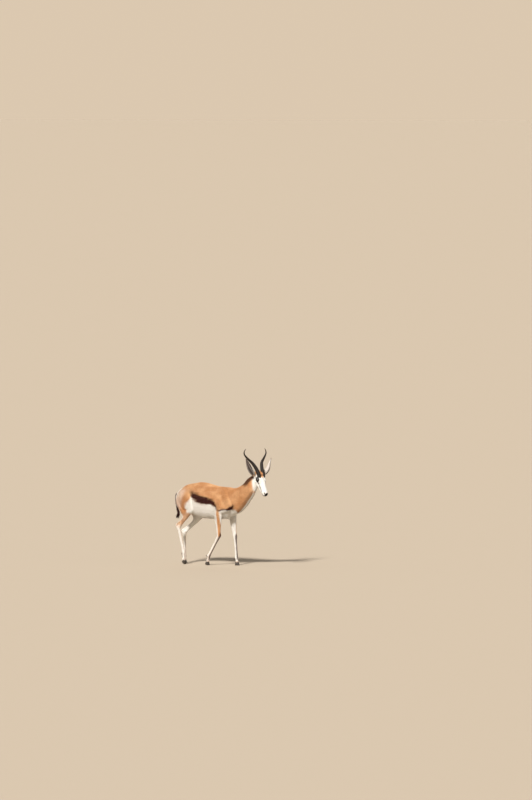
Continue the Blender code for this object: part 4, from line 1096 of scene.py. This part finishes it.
skin = make_skin()
skin.data.shade_smooth()
skin.data.materials.append(SKIN_LOOK)
unwrap(skin)
points, normals, faces = arrays_of(skin.data)
kinds = kinds_of(points)
marks = averaged(marks_of(points, normals, kinds), faces, 2)
paint(skin.data, "marks", marks)
ways = averaged(coat_way(points, kinds), faces, 30)
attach(skin, "root")
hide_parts(*FLESH)
eye_gap = np.min([np.linalg.norm(points - np.array(eyes[side]), axis=1) for side in eyes], axis=0)
bare = np.maximum(step(0.0190, 0.0172, eye_gap), on_head(points) * step(0.160, 0.166, to_head(points)[:, 0]))
bare = np.maximum(bare, step(0.030, 0.022, points[:, 2]))
for name, chosen, wanted, share, density in (
    ("body_coat", kinds != SKULL, BODY_TUFTS, 5, 0.8),
    ("head_coat", kinds == SKULL, HEAD_TUFTS, 3, 1.1),
):
    weight = chosen * (1 - bare) / coat_size(points, kinds) ** density + 1e-12
    add_coat(name, skin, kinds, marks, ways, wanted // THIN_OUT, share, weight)

for side_name in SIDES:
    make_ear(side_name, SKIN_LOOK)
    make_horn(side_name, HORN_LOOK)
    make_eye(side_name, EYE_LOOK)
    for end in ("fore", "hind"):
        make_claws(end, side_name, HOOF_LOOK)
        make_dewclaws(end, side_name, HOOF_LOOK)

tail, tail_line = make_tail(SKIN_LOOK)
points, normals, faces = arrays_of(tail.data)
marks, part = tail_marks(points, tail_line)
paint(tail.data, "marks", marks)
ways = unit(np.gradient(tail_line, axis=0)[(part * (len(tail_line) - 1)).astype(int)])
ways = ways + normals * 0.05 + np.array((-0.5, 0, 0.1)) * step(0.75, 1.0, part)[:, None]
length = 0.012 + 0.045 * step(0.45, 0.80, part)
width = 0.0020 + length * 0.02
hair_on(tail, "tail_coat", TAIL_TUFTS, np.ones(len(points)), marks, ways, length, width)

# Camera, floor and light

FRAME_WIDE, FRAME_HIGH = 532, 800  # the photograph's frame in pixels
SCALE = 97.2  # pixels in a metre at the animal
DISTANCE = 60.0
AZIMUTH, ELEVATION = math.radians(30), math.radians(3)
FOOT_AT = Vector((SHIFT[0], SHIFT[1], 0.0))  # a point of the floor, seen at FOOT_SEEN
FOOT_SEEN = (207.6, 564.5)

towards = Vector((math.sin(AZIMUTH), -math.cos(AZIMUTH), 0)) * math.cos(ELEVATION) + UP * math.sin(ELEVATION)
right_way = UP.cross(towards).normalized()
high_way = towards.cross(right_way)
centre = FOOT_AT + right_way * ((FRAME_WIDE / 2 - FOOT_SEEN[0]) / SCALE)
centre = centre + high_way * ((FOOT_SEEN[1] - FRAME_HIGH / 2) / SCALE)
camera = linked("camera", bpy.data.cameras.new("camera"))
camera.matrix_world = Matrix.Translation(centre + towards * DISTANCE) @ Matrix(
    (right_way, high_way, towards)
).transposed().to_4x4()
camera.data.sensor_fit = "AUTO"
camera.data.sensor_width = 36.0
camera.data.lens = camera.data.sensor_width * DISTANCE * SCALE / FRAME_HIGH
camera.data.clip_end = 2000
bpy.context.scene.camera = camera

LAMPS = (  # name, side of the front, height, power, spread (all degrees but the power), colour
    ("key", 4, 43, 5.30, 10, (1.0, 0.975, 0.935)),
    ("fill", 95, 30, 0.45, 40, (0.96, 0.98, 1.0)),
    ("left", -65, 35, 0.40, 40, (1.0, 0.97, 0.94)),
    ("back", 200, 40, 0.50, 40, (1.0, 0.98, 0.95)),
)
FLOOR_TINT, FLOOR_HALF = (0.460, 0.385, 0.300), 900
SKY_HIGH = (0.100, 0.102, 0.106)


def add_lamp(name, side, height, power, spread, colour):
    """A soft distant lamp, and what it adds to a level floor."""
    light = bpy.data.lights.new(name, "SUN")
    light.energy = power
    light.angle = math.radians(spread)
    light.color = colour
    made = linked(name, light)
    side, height = math.radians(side), math.radians(height)
    way = Vector((math.sin(side) * math.cos(height), -math.cos(side) * math.cos(height), math.sin(height)))
    made.rotation_euler = way.to_track_quat("Z", "Y").to_euler()
    return np.array(colour) * power * way.z / math.pi


def make_world(lit):
    """A room that is as bright as the floor at the horizon and dimmer above."""
    low_share = 0.085  # of the light on the floor, from near the horizon
    tint = np.array(FLOOR_TINT)
    horizon = tint * (lit + (1 - low_share) * np.array(SKY_HIGH)) / (1 - tint * low_share)
    made = Nodes("studio", "worlds", "Background")
    bpy.context.scene.world = made.owner
    place = made.add("ShaderNodeTexCoord").outputs["Generated"]
    height = made.add("ShaderNodeSeparateXYZ", Vector=place).outputs["Z"]
    ramp = made.add("ShaderNodeMapRange", Value=height, From_Min=0.1, From_Max=0.4)
    made.surface(Color=made.mix(ramp.outputs["Result"], (*horizon, 1), (*SKY_HIGH, 1)))


corners = [(x * FLOOR_HALF, y * FLOOR_HALF, 0) for x, y in ((-1, -1), (1, -1), (1, 1), (-1, 1))]
floor = mesh_object("floor", corners, [(0, 1, 2, 3)], False)
floor.data.materials.append(floor_material())
make_world(sum(add_lamp(*lamp) for lamp in LAMPS))
bpy.context.scene.view_settings.view_transform = "Standard"
